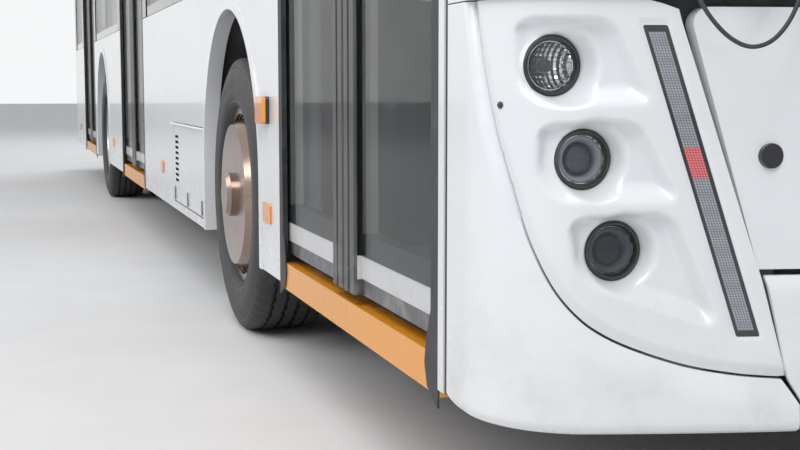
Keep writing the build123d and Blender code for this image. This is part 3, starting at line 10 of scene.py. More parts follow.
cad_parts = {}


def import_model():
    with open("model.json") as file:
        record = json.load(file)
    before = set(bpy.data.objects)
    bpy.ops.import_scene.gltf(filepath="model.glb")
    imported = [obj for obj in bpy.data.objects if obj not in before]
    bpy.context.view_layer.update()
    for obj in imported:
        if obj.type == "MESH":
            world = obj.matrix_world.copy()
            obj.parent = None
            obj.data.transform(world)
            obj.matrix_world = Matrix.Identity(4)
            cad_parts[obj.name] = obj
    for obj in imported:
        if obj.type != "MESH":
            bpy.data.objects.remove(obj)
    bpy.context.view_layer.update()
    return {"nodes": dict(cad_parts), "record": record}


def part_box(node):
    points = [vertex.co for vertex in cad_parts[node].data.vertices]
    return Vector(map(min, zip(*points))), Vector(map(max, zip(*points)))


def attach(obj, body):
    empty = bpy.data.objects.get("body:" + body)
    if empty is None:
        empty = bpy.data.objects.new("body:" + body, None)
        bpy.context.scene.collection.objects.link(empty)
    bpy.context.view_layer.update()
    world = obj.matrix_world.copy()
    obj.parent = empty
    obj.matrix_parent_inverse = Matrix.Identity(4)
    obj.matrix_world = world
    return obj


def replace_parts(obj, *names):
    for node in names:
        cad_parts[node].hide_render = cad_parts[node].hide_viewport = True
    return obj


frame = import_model()
nodes = frame["nodes"]
scene = bpy.context.scene
scene.view_settings.view_transform = "Standard"


def link(name, data):
    """A new object in the scene."""
    made = bpy.data.objects.new(name, data)
    scene.collection.objects.link(made)
    return made


# Camera: low beside the front right corner, looking back along the bus
CAMERA_PLACE = (7.71, -1.99, 0.83)
HEADING_DEG, DIP_DEG = 17.0, 6.06
LENS_MM = 58.5


def place_camera():
    heading, dip = math.radians(HEADING_DEG), math.radians(DIP_DEG)
    aim = Vector((-math.cos(heading) * math.cos(dip), math.sin(heading) * math.cos(dip), -math.sin(dip)))
    data = bpy.data.cameras.new("camera")
    data.sensor_width = 36.0
    data.lens = LENS_MM
    data.clip_end = 100.0
    camera = link("camera", data)
    camera.location = CAMERA_PLACE
    camera.rotation_euler = aim.to_track_quat("-Z", "Y").to_euler()
    scene.camera = camera


place_camera()

# Washer hose: the same route as the solid's, in metres
HOSE_ROUTE = (
    (5.8783, -0.988, 1.032),
    (5.908, -0.992, 1.027),
    (5.932, -0.992, 1.005),
    (5.943, -0.984, 0.972),
    (5.952, -0.965, 0.935),
    (5.961, -0.936, 0.903),
    (5.967, -0.903, 0.888),
    (5.968, -0.869, 0.896),
    (5.967, -0.842, 0.920),
    (5.965, -0.822, 0.952),
    (5.960, -0.810, 0.984),
    (5.948, -0.809, 1.010),
    (5.9193, -0.805, 1.016),
)
HOSE_DIAMETER = 0.007


def spline_length(curve_object):
    mesh = bpy.data.meshes.new_from_object(curve_object)
    points = [v.co.copy() for v in mesh.vertices]
    bpy.data.meshes.remove(mesh)
    return sum((b - a).length for a, b in zip(points, points[1:]))


def washer_hose():
    curve = bpy.data.curves.new("washer_hose_line", "CURVE")
    curve.dimensions = "3D"
    curve.resolution_u = 12
    spline = curve.splines.new("NURBS")
    spline.points.add(len(HOSE_ROUTE) - 1)
    for point, place in zip(spline.points, HOSE_ROUTE):
        point.co = (*place, 1.0)
    spline.order_u = 3
    spline.use_endpoint_u = True
    hose = link("hose_on_scuttle", curve)
    length = spline_length(hose)
    curve.bevel_depth = HOSE_DIAMETER / 2
    curve.bevel_resolution = 6
    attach(hose, "hull")
    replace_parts(hose, "washer_hose")
    return hose


hose = washer_hose()


# Materials
def operator(operation, swapped=False):
    """A method of Signal that adds one maths node."""

    def method(self, other=0.0):
        a, b = (other, self) if swapped else (self, other)
        return self.finish.node("ShaderNodeMath", {"operation": operation}, {0: a, 1: b})

    return method


class Signal:
    """A node's output, so that shader maths can be written as Python expressions."""

    def __init__(self, finish, socket):
        self.finish = finish
        self.socket = socket

    __add__, __radd__ = operator("ADD"), operator("ADD", True)
    __sub__, __rsub__ = operator("SUBTRACT"), operator("SUBTRACT", True)
    __mul__, __rmul__ = operator("MULTIPLY"), operator("MULTIPLY", True)
    __truediv__, __mod__ = operator("DIVIDE"), operator("FLOORED_MODULO")
    __abs__ = operator("ABSOLUTE")
    __gt__, __lt__ = operator("GREATER_THAN"), operator("LESS_THAN")


# Each finish by its name
FINISHES = {}


class Finish:
    """One material: its Principled shader and the nodes that feed it."""

    def __init__(self, name, **fixed):
        material = bpy.data.materials.new(name)
        material.use_nodes = True
        FINISHES[name] = material
        self.tree = material.node_tree
        self.shader = self.tree.nodes["Principled BSDF"]
        for socket, value in fixed.items():
            self.shader.inputs[socket.replace("_", " ").title()].default_value = value
        self.position = None

    def plug(self, socket, value):
        if isinstance(value, Signal):
            self.tree.links.new(value.socket, socket)
        else:
            socket.default_value = value

    def node(self, kind, settings, inputs, output=0):
        made = self.tree.nodes.new(kind)
        for key, value in settings.items():
            setattr(made, key, value)
        for key, value in inputs.items():
            self.plug(made.inputs[key], value)
        return Signal(self, made.outputs[output])

    def feed(self, socket, signal):
        self.plug(self.shader.inputs[socket], signal)

    def place(self):
        """The point on the object at rest, in metres."""
        if self.position is None:
            self.position = self.node("ShaderNodeTexCoord", {}, {}, "Object")
        return self.position

    def axis(self, letter):
        return self.node("ShaderNodeSeparateXYZ", {}, {0: self.place()}, letter)

    def stretched(self, x, y, z):
        return self.node("ShaderNodeVectorMath", {"operation": "MULTIPLY"}, {0: self.place(), 1: (x, y, z)})

    def noise(self, scale, detail=3.0, roughness=0.5, where=None):
        inputs = {"Vector": where or self.place(), "Scale": scale, "Detail": detail, "Roughness": roughness}
        return self.node("ShaderNodeTexNoise", {}, inputs)

    def fade(self, value, low, high):
        """0 below low, 1 above high, smooth between."""
        inputs = {"Value": value, "From Min": low, "From Max": high}
        return self.node("ShaderNodeMapRange", {"interpolation_type": "SMOOTHSTEP"}, inputs)

    def cloud(self, scale, low, high, detail=3.0, roughness=0.5):
        """Soft patches: noise taken from 0 to 1 between two of its values."""
        return self.fade(self.noise(scale, detail, roughness), low, high)

    def near(self, letter, centre, half):
        """1 where this coordinate lies within half of the centre."""
        return abs(self.axis(letter) - centre) < half

    def any_near(self, letter, centres, half):
        first, *others = [self.near(letter, centre, half) for centre in centres]
        return sum(others, first)

    def mix(self, factor, a, b):
        return self.node("ShaderNodeMix", {"data_type": "RGBA"}, {0: factor, 6: rgba(a), 7: rgba(b)}, 2)

    def surface(self, colour, rough, height, strength, distance):
        """The shader's colour and roughness, and a relief of this height."""
        self.feed("Base Color", colour)
        self.feed("Roughness", rough)
        inputs = {"Height": height, "Strength": strength, "Distance": distance}
        self.feed("Normal", self.node("ShaderNodeBump", {}, inputs))

    def normal_z(self):
        """How far the surface faces up."""
        normal = self.node("ShaderNodeNewGeometry", {}, {}, "Normal")
        return self.node("ShaderNodeSeparateXYZ", {}, {0: normal}, "Z")


def ribs(value, pitch):
    """A zigzag along a value: 0 in the middle of each pitch and 1 at its ends."""
    return abs((value % pitch) - pitch / 2) * (2 / pitch)


def rgba(colour):
    if isinstance(colour, Signal):
        return colour
    return (*colour, 1.0) if len(colour) == 3 else colour


WHITE = (0.74, 0.755, 0.775)
DUST = (0.45, 0.42, 0.38)
BLACK = (0.012, 0.012, 0.014)
# Added to a coordinate before it is cut into ribs, so that it stays above 0 all along the bus
RIB_START = 20.0


def paint(name, colour, marks=None, coat=0.6, peel=0.06, dirty=1.0):
    """Gloss paint with orange peel, dust low down and on top, and marks in other colours over it."""
    finish = Finish(name, coat_weight=coat, coat_roughness=0.05)
    z = finish.axis("Z")
    shade = finish.mix(finish.cloud(1.7, 0.35, 0.7, 4.0), colour, [c * 0.97 for c in colour])
    low_dust = (1.0 - finish.fade(z, 0.26, 0.62)) * finish.cloud(9.0, 0.42, 0.75, 6.0, 0.65)
    top_dust = finish.fade(finish.normal_z(), 0.4, 0.95) * finish.cloud(3.0, 0.35, 0.7, 5.0, 0.6)
    specks = finish.cloud(240.0, 0.72, 0.8, 1.0)
    dust = (low_dust * 0.35 + top_dust * 0.2 + specks * 0.05) * dirty
    rough = 0.22 + dust * 0.5 + finish.noise(30.0, 2.0) * 0.05
    for mask, other in marks(finish) if marks else ():
        shade = finish.mix(mask, shade, other)
    finish.surface(finish.mix(dust, shade, DUST), rough, finish.noise(420.0, 1.0), peel, 0.001)


def moulded(name, colour, grain=900.0, depth=0.12, rough=0.5, wear=0.06):
    """Moulded plastic or powder coat: fine grain, slightly paler and duller in patches."""
    finish = Finish(name)
    cloud = finish.cloud(6.0, 0.35, 0.75, 5.0, 0.6)
    shade = finish.mix(cloud, colour, [min(1.0, c + wear) for c in colour])
    finish.surface(shade, rough + cloud * 0.15, finish.noise(grain, 2.0), depth, 0.0006)


def rubber(name, colour=(0.018, 0.019, 0.021), grain=500.0, rough=0.55, bloom=0.05):
    """Rubber with a fine grain and a pale bloom in patches."""
    finish = Finish(name)
    bloom_mask = finish.cloud(12.0, 0.4, 0.8, 5.0, 0.65)
    shade = finish.mix(bloom_mask, colour, [c + bloom for c in colour])
    finish.surface(shade, rough + bloom_mask * 0.2, finish.noise(grain, 2.0), 0.15, 0.0008)


def metal(name, colour, rough, brushed=(1.0, 1.0, 1.0), grime=0.25):
    """Bare or polished metal with drawn lines and grime in patches."""
    finish = Finish(name)
    grain = finish.noise(160.0, 4.0, 0.6, finish.stretched(*brushed))
    dirt = finish.cloud(8.0, 0.5, 0.85, 6.0, 0.65) * grime
    finish.feed("Metallic", 1.0 - dirt * 0.6)
    shade = finish.mix(dirt, colour, (0.14, 0.12, 0.10))
    finish.surface(shade, rough + grain * 0.12 + dirt * 0.4, grain, 0.04, 0.0008)


def glazing(name, tint, alpha, frit=None):
    """Tinted safety glass; the black print round its edge is opaque."""
    finish = Finish(name, coat_weight=0.4, coat_roughness=0.02)
    film = finish.cloud(5.0, 0.4, 0.8, 5.0, 0.6)
    see = alpha + film * 0.05
    if frit is None:
        shade = finish.mix(film, tint, [t + 0.02 for t in tint])
    else:
        edge = frit(finish)
        shade = finish.mix(edge, tint, BLACK)
        see = see + edge * (1.0 - alpha)
    finish.feed("Alpha", see)
    finish.surface(shade, 0.03 + film * 0.05, finish.noise(2.5, 1.0), 0.02, 0.004)


BELT_Z = 1.195
DOOR_TOP_Z = 2.34
PILLAR_X = 5.515
FLAP_GAP = 0.0025
# Flaps of the left side: rear and front end, bottom and top
LEFT_FLAPS = (
    (1.15, 2.55, 0.33, 0.72),
    (-0.55, 0.85, 0.33, 0.72),
    (-1.55, -0.75, 0.33, 1.00),
    (-4.55, -3.25, 0.33, 1.10),
)


def inside_box(finish, x0, x1, z0, z1):
    """1 inside an upright rectangle on a side wall."""
    return finish.near("X", (x0 + x1) / 2, (x1 - x0) / 2) * finish.near("Z", (z0 + z1) / 2, (z1 - z0) / 2)


def window_band(finish):
    """The black band between belt and door tops, up to the front pillar."""
    x, z = finish.axis("X"), finish.axis("Z")
    return [((z > BELT_Z - 0.002) * (z < DOOR_TOP_Z) * (x < PILLAR_X), BLACK)]


def left_marks(finish):
    """The window band, and the joints round the flaps of the left side."""
    marks = window_band(finish)
    for x0, x1, z0, z1 in LEFT_FLAPS:
        outer = inside_box(finish, x0 - FLAP_GAP, x1 + FLAP_GAP, z0 - FLAP_GAP, z1 + FLAP_GAP)
        marks.append((outer - inside_box(finish, x0, x1, z0, z1), BLACK))
    return marks


# The clear part of the windscreen and of the side windows
SCREEN_HALF_Y, SCREEN_Z = 1.09, (1.20, 2.24)
SIDE_CLEAR_Z = (BELT_Z + 0.05, 2.20)


def screen_print(finish):
    """1 on the black print round the windscreen."""
    z = finish.axis("Z")
    return 1.0 - (abs(finish.axis("Y")) < SCREEN_HALF_Y) * (z > SCREEN_Z[0]) * (z < SCREEN_Z[1])


def window_print(finish):
    """1 on the black print above and below the side windows."""
    z = finish.axis("Z")
    return 1.0 - (z > SIDE_CLEAR_Z[0]) * (z < SIDE_CLEAR_Z[1])


SIDE_Y = 1.250
PROUD = 0.0006
LATCH_TOP_Z = 0.60
HATCH_LOUVRE = (1.845, 1.975, 0.405, 0.625)


def hatch_marks(finish):
    """Black latches, which stand proud below the hinge, and painted shade in black on the recessed inside of
    the louvre.
    """
    latches = (finish.axis("Y") < -(SIDE_Y + PROUD)) * (finish.axis("Z") < LATCH_TOP_Z)
    # Painted shade: the faces set back inside the louvre are painted black
    louvre_shade = (finish.axis("Y") > -(SIDE_Y - PROUD)) * inside_box(finish, *HATCH_LOUVRE)
    return [(latches, BLACK), (louvre_shade, BLACK)]


FLAP_CAP = (0.821, 0.721, 0.0203)


def flap_marks(finish):
    """The black caps of the flap's locks."""
    y, z, radius = FLAP_CAP
    away_y = abs(finish.axis("Y")) - y
    away_z = finish.axis("Z") - z
    return [(away_y * away_y + away_z * away_z < radius * radius, BLACK)]


DOOR_NAMES = ("door_1", "door_2", "door_3")
DOOR_MIDDLES = [
    (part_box(f"{name}_leaf_rear")[1][0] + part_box(f"{name}_leaf_front")[0][0]) / 2 for name in DOOR_NAMES
]
LEAF_GLASS_Z = 0.455
LEAF_RAIL_Z = 0.505
BAND_Z = 0.403
LEAF_FACE_Y, RUBBER_FACE_Y = -1.2262, -1.215
LEAF_HALF = (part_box("door_1_leaf_front")[1][0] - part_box("door_1_leaf_rear")[0][0]) / 2
STILE_NEAR, STILE_FAR, MIDDLE_GAP = 0.020, 0.098, 0.003


def leaf_finish():
    """A door leaf: dark frame with pale inner edges, rubber along its middle edge, a pale band, and glass."""
    finish = Finish("leaf_dark", coat_weight=0.3, coat_roughness=0.03)
    y, z = finish.axis("Y"), finish.axis("Z")
    rubber_zone = finish.any_near("X", DOOR_MIDDLES, STILE_FAR + MIDDLE_GAP - 0.0002)
    proud = y < LEAF_FACE_Y
    glass = proud * (z > LEAF_GLASS_Z + 0.0002) * (1.0 - rubber_zone)
    band = proud * (z < LEAF_GLASS_Z + 0.0002) * (z > BAND_Z - 0.001) * (1.0 - rubber_zone)
    inner_edges = (STILE_FAR + MIDDLE_GAP, LEAF_HALF - STILE_NEAR)
    edges = [middle + way * edge for middle in DOOR_MIDDLES for way in (-1, 1) for edge in inner_edges]
    pale = finish.any_near("X", edges, 0.0008) * (y > LEAF_FACE_Y) * (z > LEAF_RAIL_Z - 0.001)
    rubber_face = rubber_zone * (y < RUBBER_FACE_Y)
    cloud = finish.cloud(6.0, 0.35, 0.75, 5.0, 0.6)
    low_dust = (1.0 - finish.fade(z, 0.36, 0.55)) * finish.cloud(14.0, 0.4, 0.75, 6.0, 0.65)
    shade = finish.mix(cloud, (0.050, 0.052, 0.066), (0.064, 0.066, 0.08))
    shade = finish.mix(glass, shade, (0.018, 0.024, 0.026))
    shade = finish.mix(band, shade, (0.56, 0.57, 0.58))
    shade = finish.mix(pale, shade, (0.62, 0.62, 0.60))
    bloom = finish.mix(cloud, (0.030, 0.030, 0.032), (0.065, 0.062, 0.060))
    shade = finish.mix(rubber_face, shade, bloom)
    shade = finish.mix(low_dust * 0.4 * (1.0 - glass), shade, DUST)
    rough = 0.42 + cloud * 0.12 + rubber_face * 0.15 - glass * 0.40
    finish.feed("Alpha", 1.0 - glass * (0.62 - cloud * 0.06))
    finish.surface(shade, rough, finish.noise(700.0, 2.0) * (1.0 - glass), 0.1, 0.0006)


# Light strip: y and z of its ends, how far y moves for each metre up, half of its lens, and the pink stretch
STRIP_TOP, STRIP_BOTTOM = (1.008, 0.926), (0.850, 0.430)
STRIP_LEAN = (STRIP_TOP[0] - STRIP_BOTTOM[0]) / (STRIP_TOP[1] - STRIP_BOTTOM[1])
STRIP_LENS_HALF = 0.0125
STRIP_FRAME = 0.010
STRIP_CELL, STRIP_ROW = 0.0042, 0.030
PINK_Z = (0.686, 0.735)


def strip_line(z):
    """The y of the light strip's middle line at this height."""
    return STRIP_BOTTOM[0] + (z - STRIP_BOTTOM[1]) * STRIP_LEAN


def strip_finish():
    """The slanted light strip: a black frame round a clear lens of fine squares, with a pink stretch."""
    finish = Finish("strip_lens", coat_weight=0.8, coat_roughness=0.03)
    z = finish.axis("Z")
    across = (abs(finish.axis("Y")) - strip_line(z)) * math.cos(math.atan(STRIP_LEAN))
    lens = abs(across) < STRIP_LENS_HALF
    lens = lens * (z > STRIP_BOTTOM[1] + STRIP_FRAME) * (z < STRIP_TOP[1] - STRIP_FRAME)
    cell_z = ribs(z, STRIP_CELL)
    cell_y = ribs(across + 1.0, STRIP_CELL)
    cushion = (1.0 - cell_z * cell_z) * (1.0 - cell_y * cell_y)
    pink = (z > PINK_Z[0]) * (z < PINK_Z[1])
    glow = finish.mix(cushion, (0.12, 0.13, 0.15), (0.40, 0.42, 0.46))
    glow = finish.mix(ribs(z, STRIP_ROW) * 0.35, glow, (0.16, 0.17, 0.19))
    glow = finish.mix(pink, glow, finish.mix(cushion, (0.42, 0.05, 0.06), (0.80, 0.20, 0.22)))
    finish.surface(finish.mix(lens, BLACK, glow), 0.22 - lens * 0.12, cushion * lens, 0.35, 0.0010)


# The one marker on a base: the height above which it stands, and the face of its base
MARKER_BASE = (0.70, 1.2615)
AMBER_Z, AMBER_HALF = 0.89, 0.06


def marker_finish():
    """Amber lenses; the one beside the front door sits on a black base."""
    finish = Finish("amber_lens", coat_weight=0.7, coat_roughness=0.03)
    base = (finish.axis("Z") > MARKER_BASE[0]) * (abs(finish.axis("Y")) < MARKER_BASE[1])
    flutes = ribs(finish.axis("X") + RIB_START, 0.006)
    amber = finish.mix(finish.cloud(30.0, 0.3, 0.7), (0.72, 0.16, 0.01), (0.80, 0.20, 0.015))
    lens = finish.mix(flutes, amber, (0.95, 0.34, 0.03))
    shade = finish.mix(base, lens, BLACK)
    finish.surface(shade, 0.12 + base * 0.3, flutes * (1.0 - base), 0.3, 0.0008)


def red_lens_finish():
    """Round rear lamps: flutes in the lens, amber for the one between the red ones."""
    finish = Finish("red_lens", coat_weight=0.8, coat_roughness=0.03)
    flutes = ribs(finish.axis("Z") + RIB_START, 0.005)
    cloud = finish.cloud(25.0, 0.3, 0.7)
    red = finish.mix(cloud, (0.38, 0.01, 0.012), (0.44, 0.014, 0.015))
    red = finish.mix(flutes, red, (0.66, 0.03, 0.03))
    amber = finish.mix(flutes, (0.7, 0.18, 0.01), (0.9, 0.32, 0.03))
    shade = finish.mix(finish.near("Z", AMBER_Z, AMBER_HALF), red, amber)
    finish.surface(shade, 0.1 + cloud * 0.06, flutes, 0.3, 0.0008)


# Mirror glass: the plane it lies in, its middle and half of its size
MIRROR_FACE_X = 5.7553
MIRROR_Y, MIRROR_Z = 1.390, 1.915
MIRROR_HALF_Y, MIRROR_HALF_Z = 0.092, 0.172


def mirror_finish():
    """Black grained housings with a silvered face towards the back."""
    finish = Finish("mirror_housing")
    face = (finish.axis("X") < MIRROR_FACE_X) * finish.near("Z", MIRROR_Z, MIRROR_HALF_Z)
    face = face * (abs(abs(finish.axis("Y")) - MIRROR_Y) < MIRROR_HALF_Y)
    cloud = finish.cloud(20.0, 0.35, 0.75, 4.0)
    housing = finish.mix(cloud, (0.02, 0.02, 0.022), (0.04, 0.04, 0.043))
    shade = finish.mix(face, housing, (0.85, 0.86, 0.87))
    finish.feed("Metallic", face)
    grain = finish.noise(900.0, 2.0) * (1.0 - face)
    finish.surface(shade, 0.45 + cloud * 0.1 - face * 0.43, grain, 0.12, 0.0006)


THREAD = 0.0016
FACET = 0.008


def woven(name, colour, thread):
    """Seat fabric: a weave of two thread directions with small flecks of a brighter yarn."""
    finish = Finish(name, sheen_weight=0.4)
    warp = ribs(finish.axis("X") + RIB_START, THREAD)
    weft = ribs(finish.axis("Y") + RIB_START, THREAD)
    weave = (1.0 - warp * warp) * 0.5 + (1.0 - weft * weft) * 0.5
    fleck = finish.cloud(90.0, 0.60, 0.66, 2.0, 0.7)
    worn = finish.cloud(7.0, 0.4, 0.75, 4.0)
    base = finish.mix(worn, colour, [c * 1.25 for c in colour])
    finish.surface(finish.mix(fleck, base, thread), 0.82 + worn * 0.1, weave, 0.4, 0.0008)


def reflector(name):
    """The mirrored bowl of a lamp, in small facets."""
    finish = Finish(name, metallic=1.0)
    cloud = finish.cloud(60.0, 0.35, 0.7)
    shade = finish.mix(cloud, (0.82, 0.83, 0.84), (0.66, 0.66, 0.67))
    facets = [ribs(finish.axis(letter) + RIB_START, FACET) for letter in "ZY"]
    finish.surface(shade, 0.08 + cloud * 0.06, facets[0] + facets[1], 0.5, 0.002)


paint("body_paint", WHITE, window_band)
paint("left_paint", WHITE, left_marks)
paint("hatch_paint", WHITE, hatch_marks)
paint("front_paint", WHITE)
paint("moulded_white", (0.75, 0.765, 0.785), coat=0.4, peel=0.03)
paint("flap_white", (0.75, 0.765, 0.785), flap_marks, coat=0.4, peel=0.03)
paint("roof_paint", (0.72, 0.73, 0.74))
glazing("windscreen_glass", (0.03, 0.04, 0.04), 0.22, screen_print)
glazing("side_glass", (0.02, 0.028, 0.028), 0.45, window_print)
moulded("lamp_black", (0.014, 0.014, 0.016), rough=0.28, depth=0.05)
reflector("lamp_bowl")
glazing("lamp_clear", (0.30, 0.34, 0.38), 0.06)
glazing("lamp_smoked", (0.03, 0.04, 0.05), 0.30)
glazing("lamp_lens", (0.014, 0.018, 0.028), 0.93)
moulded("lamp_ring", (0.26, 0.28, 0.31), rough=0.16, depth=0.03)
strip_finish()
red_lens_finish()
marker_finish()
moulded("black_plastic", (0.02, 0.02, 0.022))
mirror_finish()
rubber("seal_rubber")
rubber("tyre_rubber", (0.022, 0.022, 0.023), bloom=0.03)
# Wheel metal: polished metal tinted brown, a painted reflection of a brick pavement that the scene does not
# have
metal("wheel_metal", (0.32, 0.24, 0.20), 0.14)
metal("rim_steel", (0.5, 0.5, 0.52), 0.35)
paint("sill_yellow", (0.80, 0.31, 0.004), coat=0.05, peel=0.1, dirty=0.3)
leaf_finish()
moulded("frame_black", (0.03, 0.03, 0.03), grain=300.0, rough=0.7)
moulded("axle_grey", (0.07, 0.07, 0.075), grain=200.0, depth=0.3, rough=0.6)
moulded("steel_grey", (0.45, 0.46, 0.47))
moulded("rail_yellow", (0.80, 0.50, 0.03), rough=0.35)
moulded("floor_vinyl", (0.16, 0.16, 0.17), grain=400.0, rough=0.6)
woven("seat_fabric", (0.035, 0.07, 0.22), (0.30, 0.22, 0.05))
moulded("seat_shell", (0.10, 0.11, 0.13), rough=0.4)
moulded("cab_grey", (0.09, 0.09, 0.1))
moulded("engine_iron", (0.15, 0.15, 0.15), grain=150.0, depth=0.4, rough=0.7)
rubber("hose_black")
FINISHES["seat_blue"] = FINISHES["seat_fabric"]
FINISHES["hose_rubber"] = FINISHES["hose_black"]


def dress_cad():
    """Gives each CAD node the finish of its slot in the record."""
    slot_of = {}
    for part in frame["record"]["subparts"]:
        slot_of[part["node"]] = part["material_slot"]
    special = {
        "windscreen": "windscreen_glass",
        "windows": "side_glass",
        "front_shell": "front_paint",
        "front_flap": "flap_white",
        "side_left": "left_paint",
        "side_hatch": "hatch_paint",
        "mirrors": "mirror_housing",
        "head_lamps": "lamp_black",
    }
    for name, body in nodes.items():
        slot = special.get(name, slot_of[name])
        body.data.materials.clear()
        body.data.materials.append(FINISHES[slot])
        for polygon in body.data.polygons:
            polygon.material_index = 0


dress_cad()
hose.data.materials.append(FINISHES["hose_rubber"])


# Meshes
def mesh_object(name, vertices, faces, material, body, slot):
    """A smooth-shaded object that rides on a body."""
    mesh = bpy.data.meshes.new(name)
    mesh.from_pydata(vertices, [], faces)
    mesh.update()
    mesh.materials.append(material)
    for polygon in mesh.polygons:
        polygon.use_smooth = True
    made = link(name, mesh)
    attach(made, body)
    return made


def turned(outline, place, steps=64):
    """A closed solid of revolution from its outline in (radius, height) about the Z of a placing matrix."""
    vertices, faces, rings = [], [], []
    for radius, height in outline:
        start = len(vertices)
        if radius == 0:
            vertices.append(place @ Vector((0, 0, height)))
            rings.append([start] * steps)
            continue
        for step in range(steps):
            angle = 2 * math.pi * step / steps
            vertices.append(place @ Vector((radius * math.cos(angle), radius * math.sin(angle), height)))
        rings.append(list(range(start, start + steps)))
    for low, high in zip(rings, rings[1:] + rings[:1]):
        for step in range(steps):
            after = (step + 1) % steps
            corners = []
            for corner in (low[step], low[after], high[after], high[step]):
                if corner not in corners:
                    corners.append(corner)
            if len(corners) > 2:
                faces.append(corners)
    return vertices, faces


def joined(parts):
    """Several vertex and face lists as one."""
    vertices, faces = [], []
    for more, more_faces in parts:
        start = len(vertices)
        vertices += more
        faces += [[start + i for i in face] for face in more_faces]
    return vertices, faces


def smooth_piece(name, parts, finish, body, slot, angle=35):
    """One object of several forms, sharp where faces meet at more than this angle."""
    made = mesh_object(name, *joined(parts), FINISHES[finish], body, slot)
    made.data.set_sharp_from_angle(angle=math.radians(angle))
    return made


# Tyres: wavy grooves round the tread and ribs on the sidewall
TYRE_R, GROOVE_R = 0.465, 0.452
SWAY = 0.003
STEPS = 240
WAVES = 60
WAVE_START = 0.6
NOTCH_DEPTH = 0.006
FRONT_TYRE_Y = 1.105
REAR_TYRES_Y = (1.100, 0.790)
# Half of the section from the middle of the tread: distance from the middle, radius, sway with the groove
TREAD = (
    (0.000, TYRE_R, 0.0),
    (0.014, TYRE_R, SWAY),
    (0.016, GROOVE_R, SWAY),
    (0.024, GROOVE_R, SWAY),
    (0.026, TYRE_R, SWAY),
    (0.058, 0.4645, SWAY),
    (0.060, GROOVE_R, SWAY),
    (0.068, GROOVE_R, SWAY),
    (0.070, 0.464, SWAY),
    (0.100, 0.462, 0.0),
)
# From the shoulder, which is notched, down to the bead: distance from the middle, radius
SIDEWALL = (
    (0.112, 0.456),
    (0.119, 0.444),
    (0.1235, 0.434),
    (0.1225, 0.430),
    (0.1300, 0.412),
    (0.1345, 0.394),
    (0.1348, 0.382),
    (0.1345, 0.366),
    (0.1320, 0.350),
    (0.1330, 0.346),
    (0.1285, 0.328),
    (0.1240, 0.320),
    (0.1255, 0.315),
    (0.1120, 0.3015),
    (0.0975, 0.2975),
    (0.0968, 0.2860),
)


def tyre_mesh(centre):
    """One tyre about its axle: wavy grooves round the tread, notched shoulders, ribs on the sidewall."""
    half = [(w, r, sway, False) for w, r, sway in TREAD]
    half += [(w, r, 0.0, i == 0) for i, (w, r) in enumerate(SIDEWALL)]
    section = [(-w, r, sway, notch) for w, r, sway, notch in reversed(half[1:])] + half
    vertices, faces = [], []
    count = len(section)
    for step in range(STEPS):
        angle = 2 * math.pi * step / STEPS
        wave = math.sin(2 * math.pi * WAVES * step / STEPS + WAVE_START)
        for w, r, sway, notch in section:
            radius = r - (NOTCH_DEPTH if notch and step % 4 < 2 else 0.0)
            x, z = radius * math.sin(angle), radius * math.cos(angle)
            vertices.append((centre[0] + x, centre[1] + w + sway * wave, centre[2] + z))
    for step in range(STEPS):
        after = (step + 1) % STEPS
        for i in range(count - 1):
            a, b = step * count + i, after * count + i
            faces.append((a, b, b + 1, a + 1))
    return vertices, faces


def tyres(name, cad_name, centres, body):
    """The tyre or tyres of one wheel body."""
    parts = [tyre_mesh(centre) for centre in centres]
    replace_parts(smooth_piece(name, parts, "tyre_rubber", body, "tyre_rubber"), cad_name)


def middle(node):
    """The middle of a CAD node's box."""
    low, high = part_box(node)
    return [(a + b) / 2 for a, b in zip(low, high)]


FRONT_AXLE_X, AXLE_Z = middle("front_tyre_right")[0], middle("front_tyre_right")[2]
REAR_AXLE_X = middle("rear_tyres_right")[0]
for side, sign in (("left", 1), ("right", -1)):
    front = [(FRONT_AXLE_X, sign * FRONT_TYRE_Y, AXLE_Z)]
    rear = [(REAR_AXLE_X, sign * y, AXLE_Z) for y in REAR_TYRES_Y]
    tyres(f"treaded_front_{side}", f"front_tyre_{side}", front, f"front_wheel_{side}")
    tyres(f"treaded_rear_{side}", f"rear_tyres_{side}", rear, f"rear_wheels_{side}")


def islands(node):
    """The box of each separate solid of a CAD node, lowest corner and highest corner."""
    mesh = nodes[node].data
    bm = bmesh.new()
    bm.from_mesh(mesh)
    bmesh.ops.remove_doubles(bm, verts=bm.verts, dist=0.00001)
    bm.verts.index_update()
    seen, boxes = set(), []
    for first in bm.verts:
        if first.index in seen:
            continue
        todo, found = [first], []
        seen.add(first.index)
        while todo:
            vertex = todo.pop()
            found.append(vertex.co.copy())
            for edge in vertex.link_edges:
                other = edge.other_vert(vertex)
                if other.index not in seen:
                    seen.add(other.index)
                    todo.append(other)
        boxes.append([[pick(p[i] for p in found) for i in range(3)] for pick in (min, max)])
    bm.free()
    return boxes


# Round lamps: a can with its bezel, a bowl, what stands in it, and the glass. Outlines are radius and height
LAMP_R, LAMP_DEPTH, LAMP_DOME = 0.049, 0.070, 0.006
CAN = (
    (0.0, -LAMP_DEPTH),
    (LAMP_R, -LAMP_DEPTH),
    (LAMP_R, -0.001),
    (0.0478, 0.0018),
    (0.0455, 0.0030),
    (0.0430, 0.0026),
    (0.0415, -0.0010),
    (0.0408, -0.0050),
    (0.0400, -0.0520),
    (0.0, -0.0520),
)
BOWL = (
    (0.0, -0.0450),
    (0.0100, -0.0440),
    (0.0200, -0.0390),
    (0.0290, -0.0300),
    (0.0360, -0.0180),
    (0.0396, -0.0070),
    (0.0384, -0.0070),
    (0.0345, -0.0185),
    (0.0278, -0.0290),
    (0.0190, -0.0372),
    (0.0100, -0.0416),
    (0.0, -0.0425),
)
GLASS = (
    (0.0, 0.0060),
    (0.0120, 0.0055),
    (0.0240, 0.0036),
    (0.0340, 0.0008),
    (0.0405, -0.0030),
    (0.0398, -0.0052),
    (0.0330, -0.0014),
    (0.0240, 0.0014),
    (0.0120, 0.0034),
    (0.0, 0.0038),
)
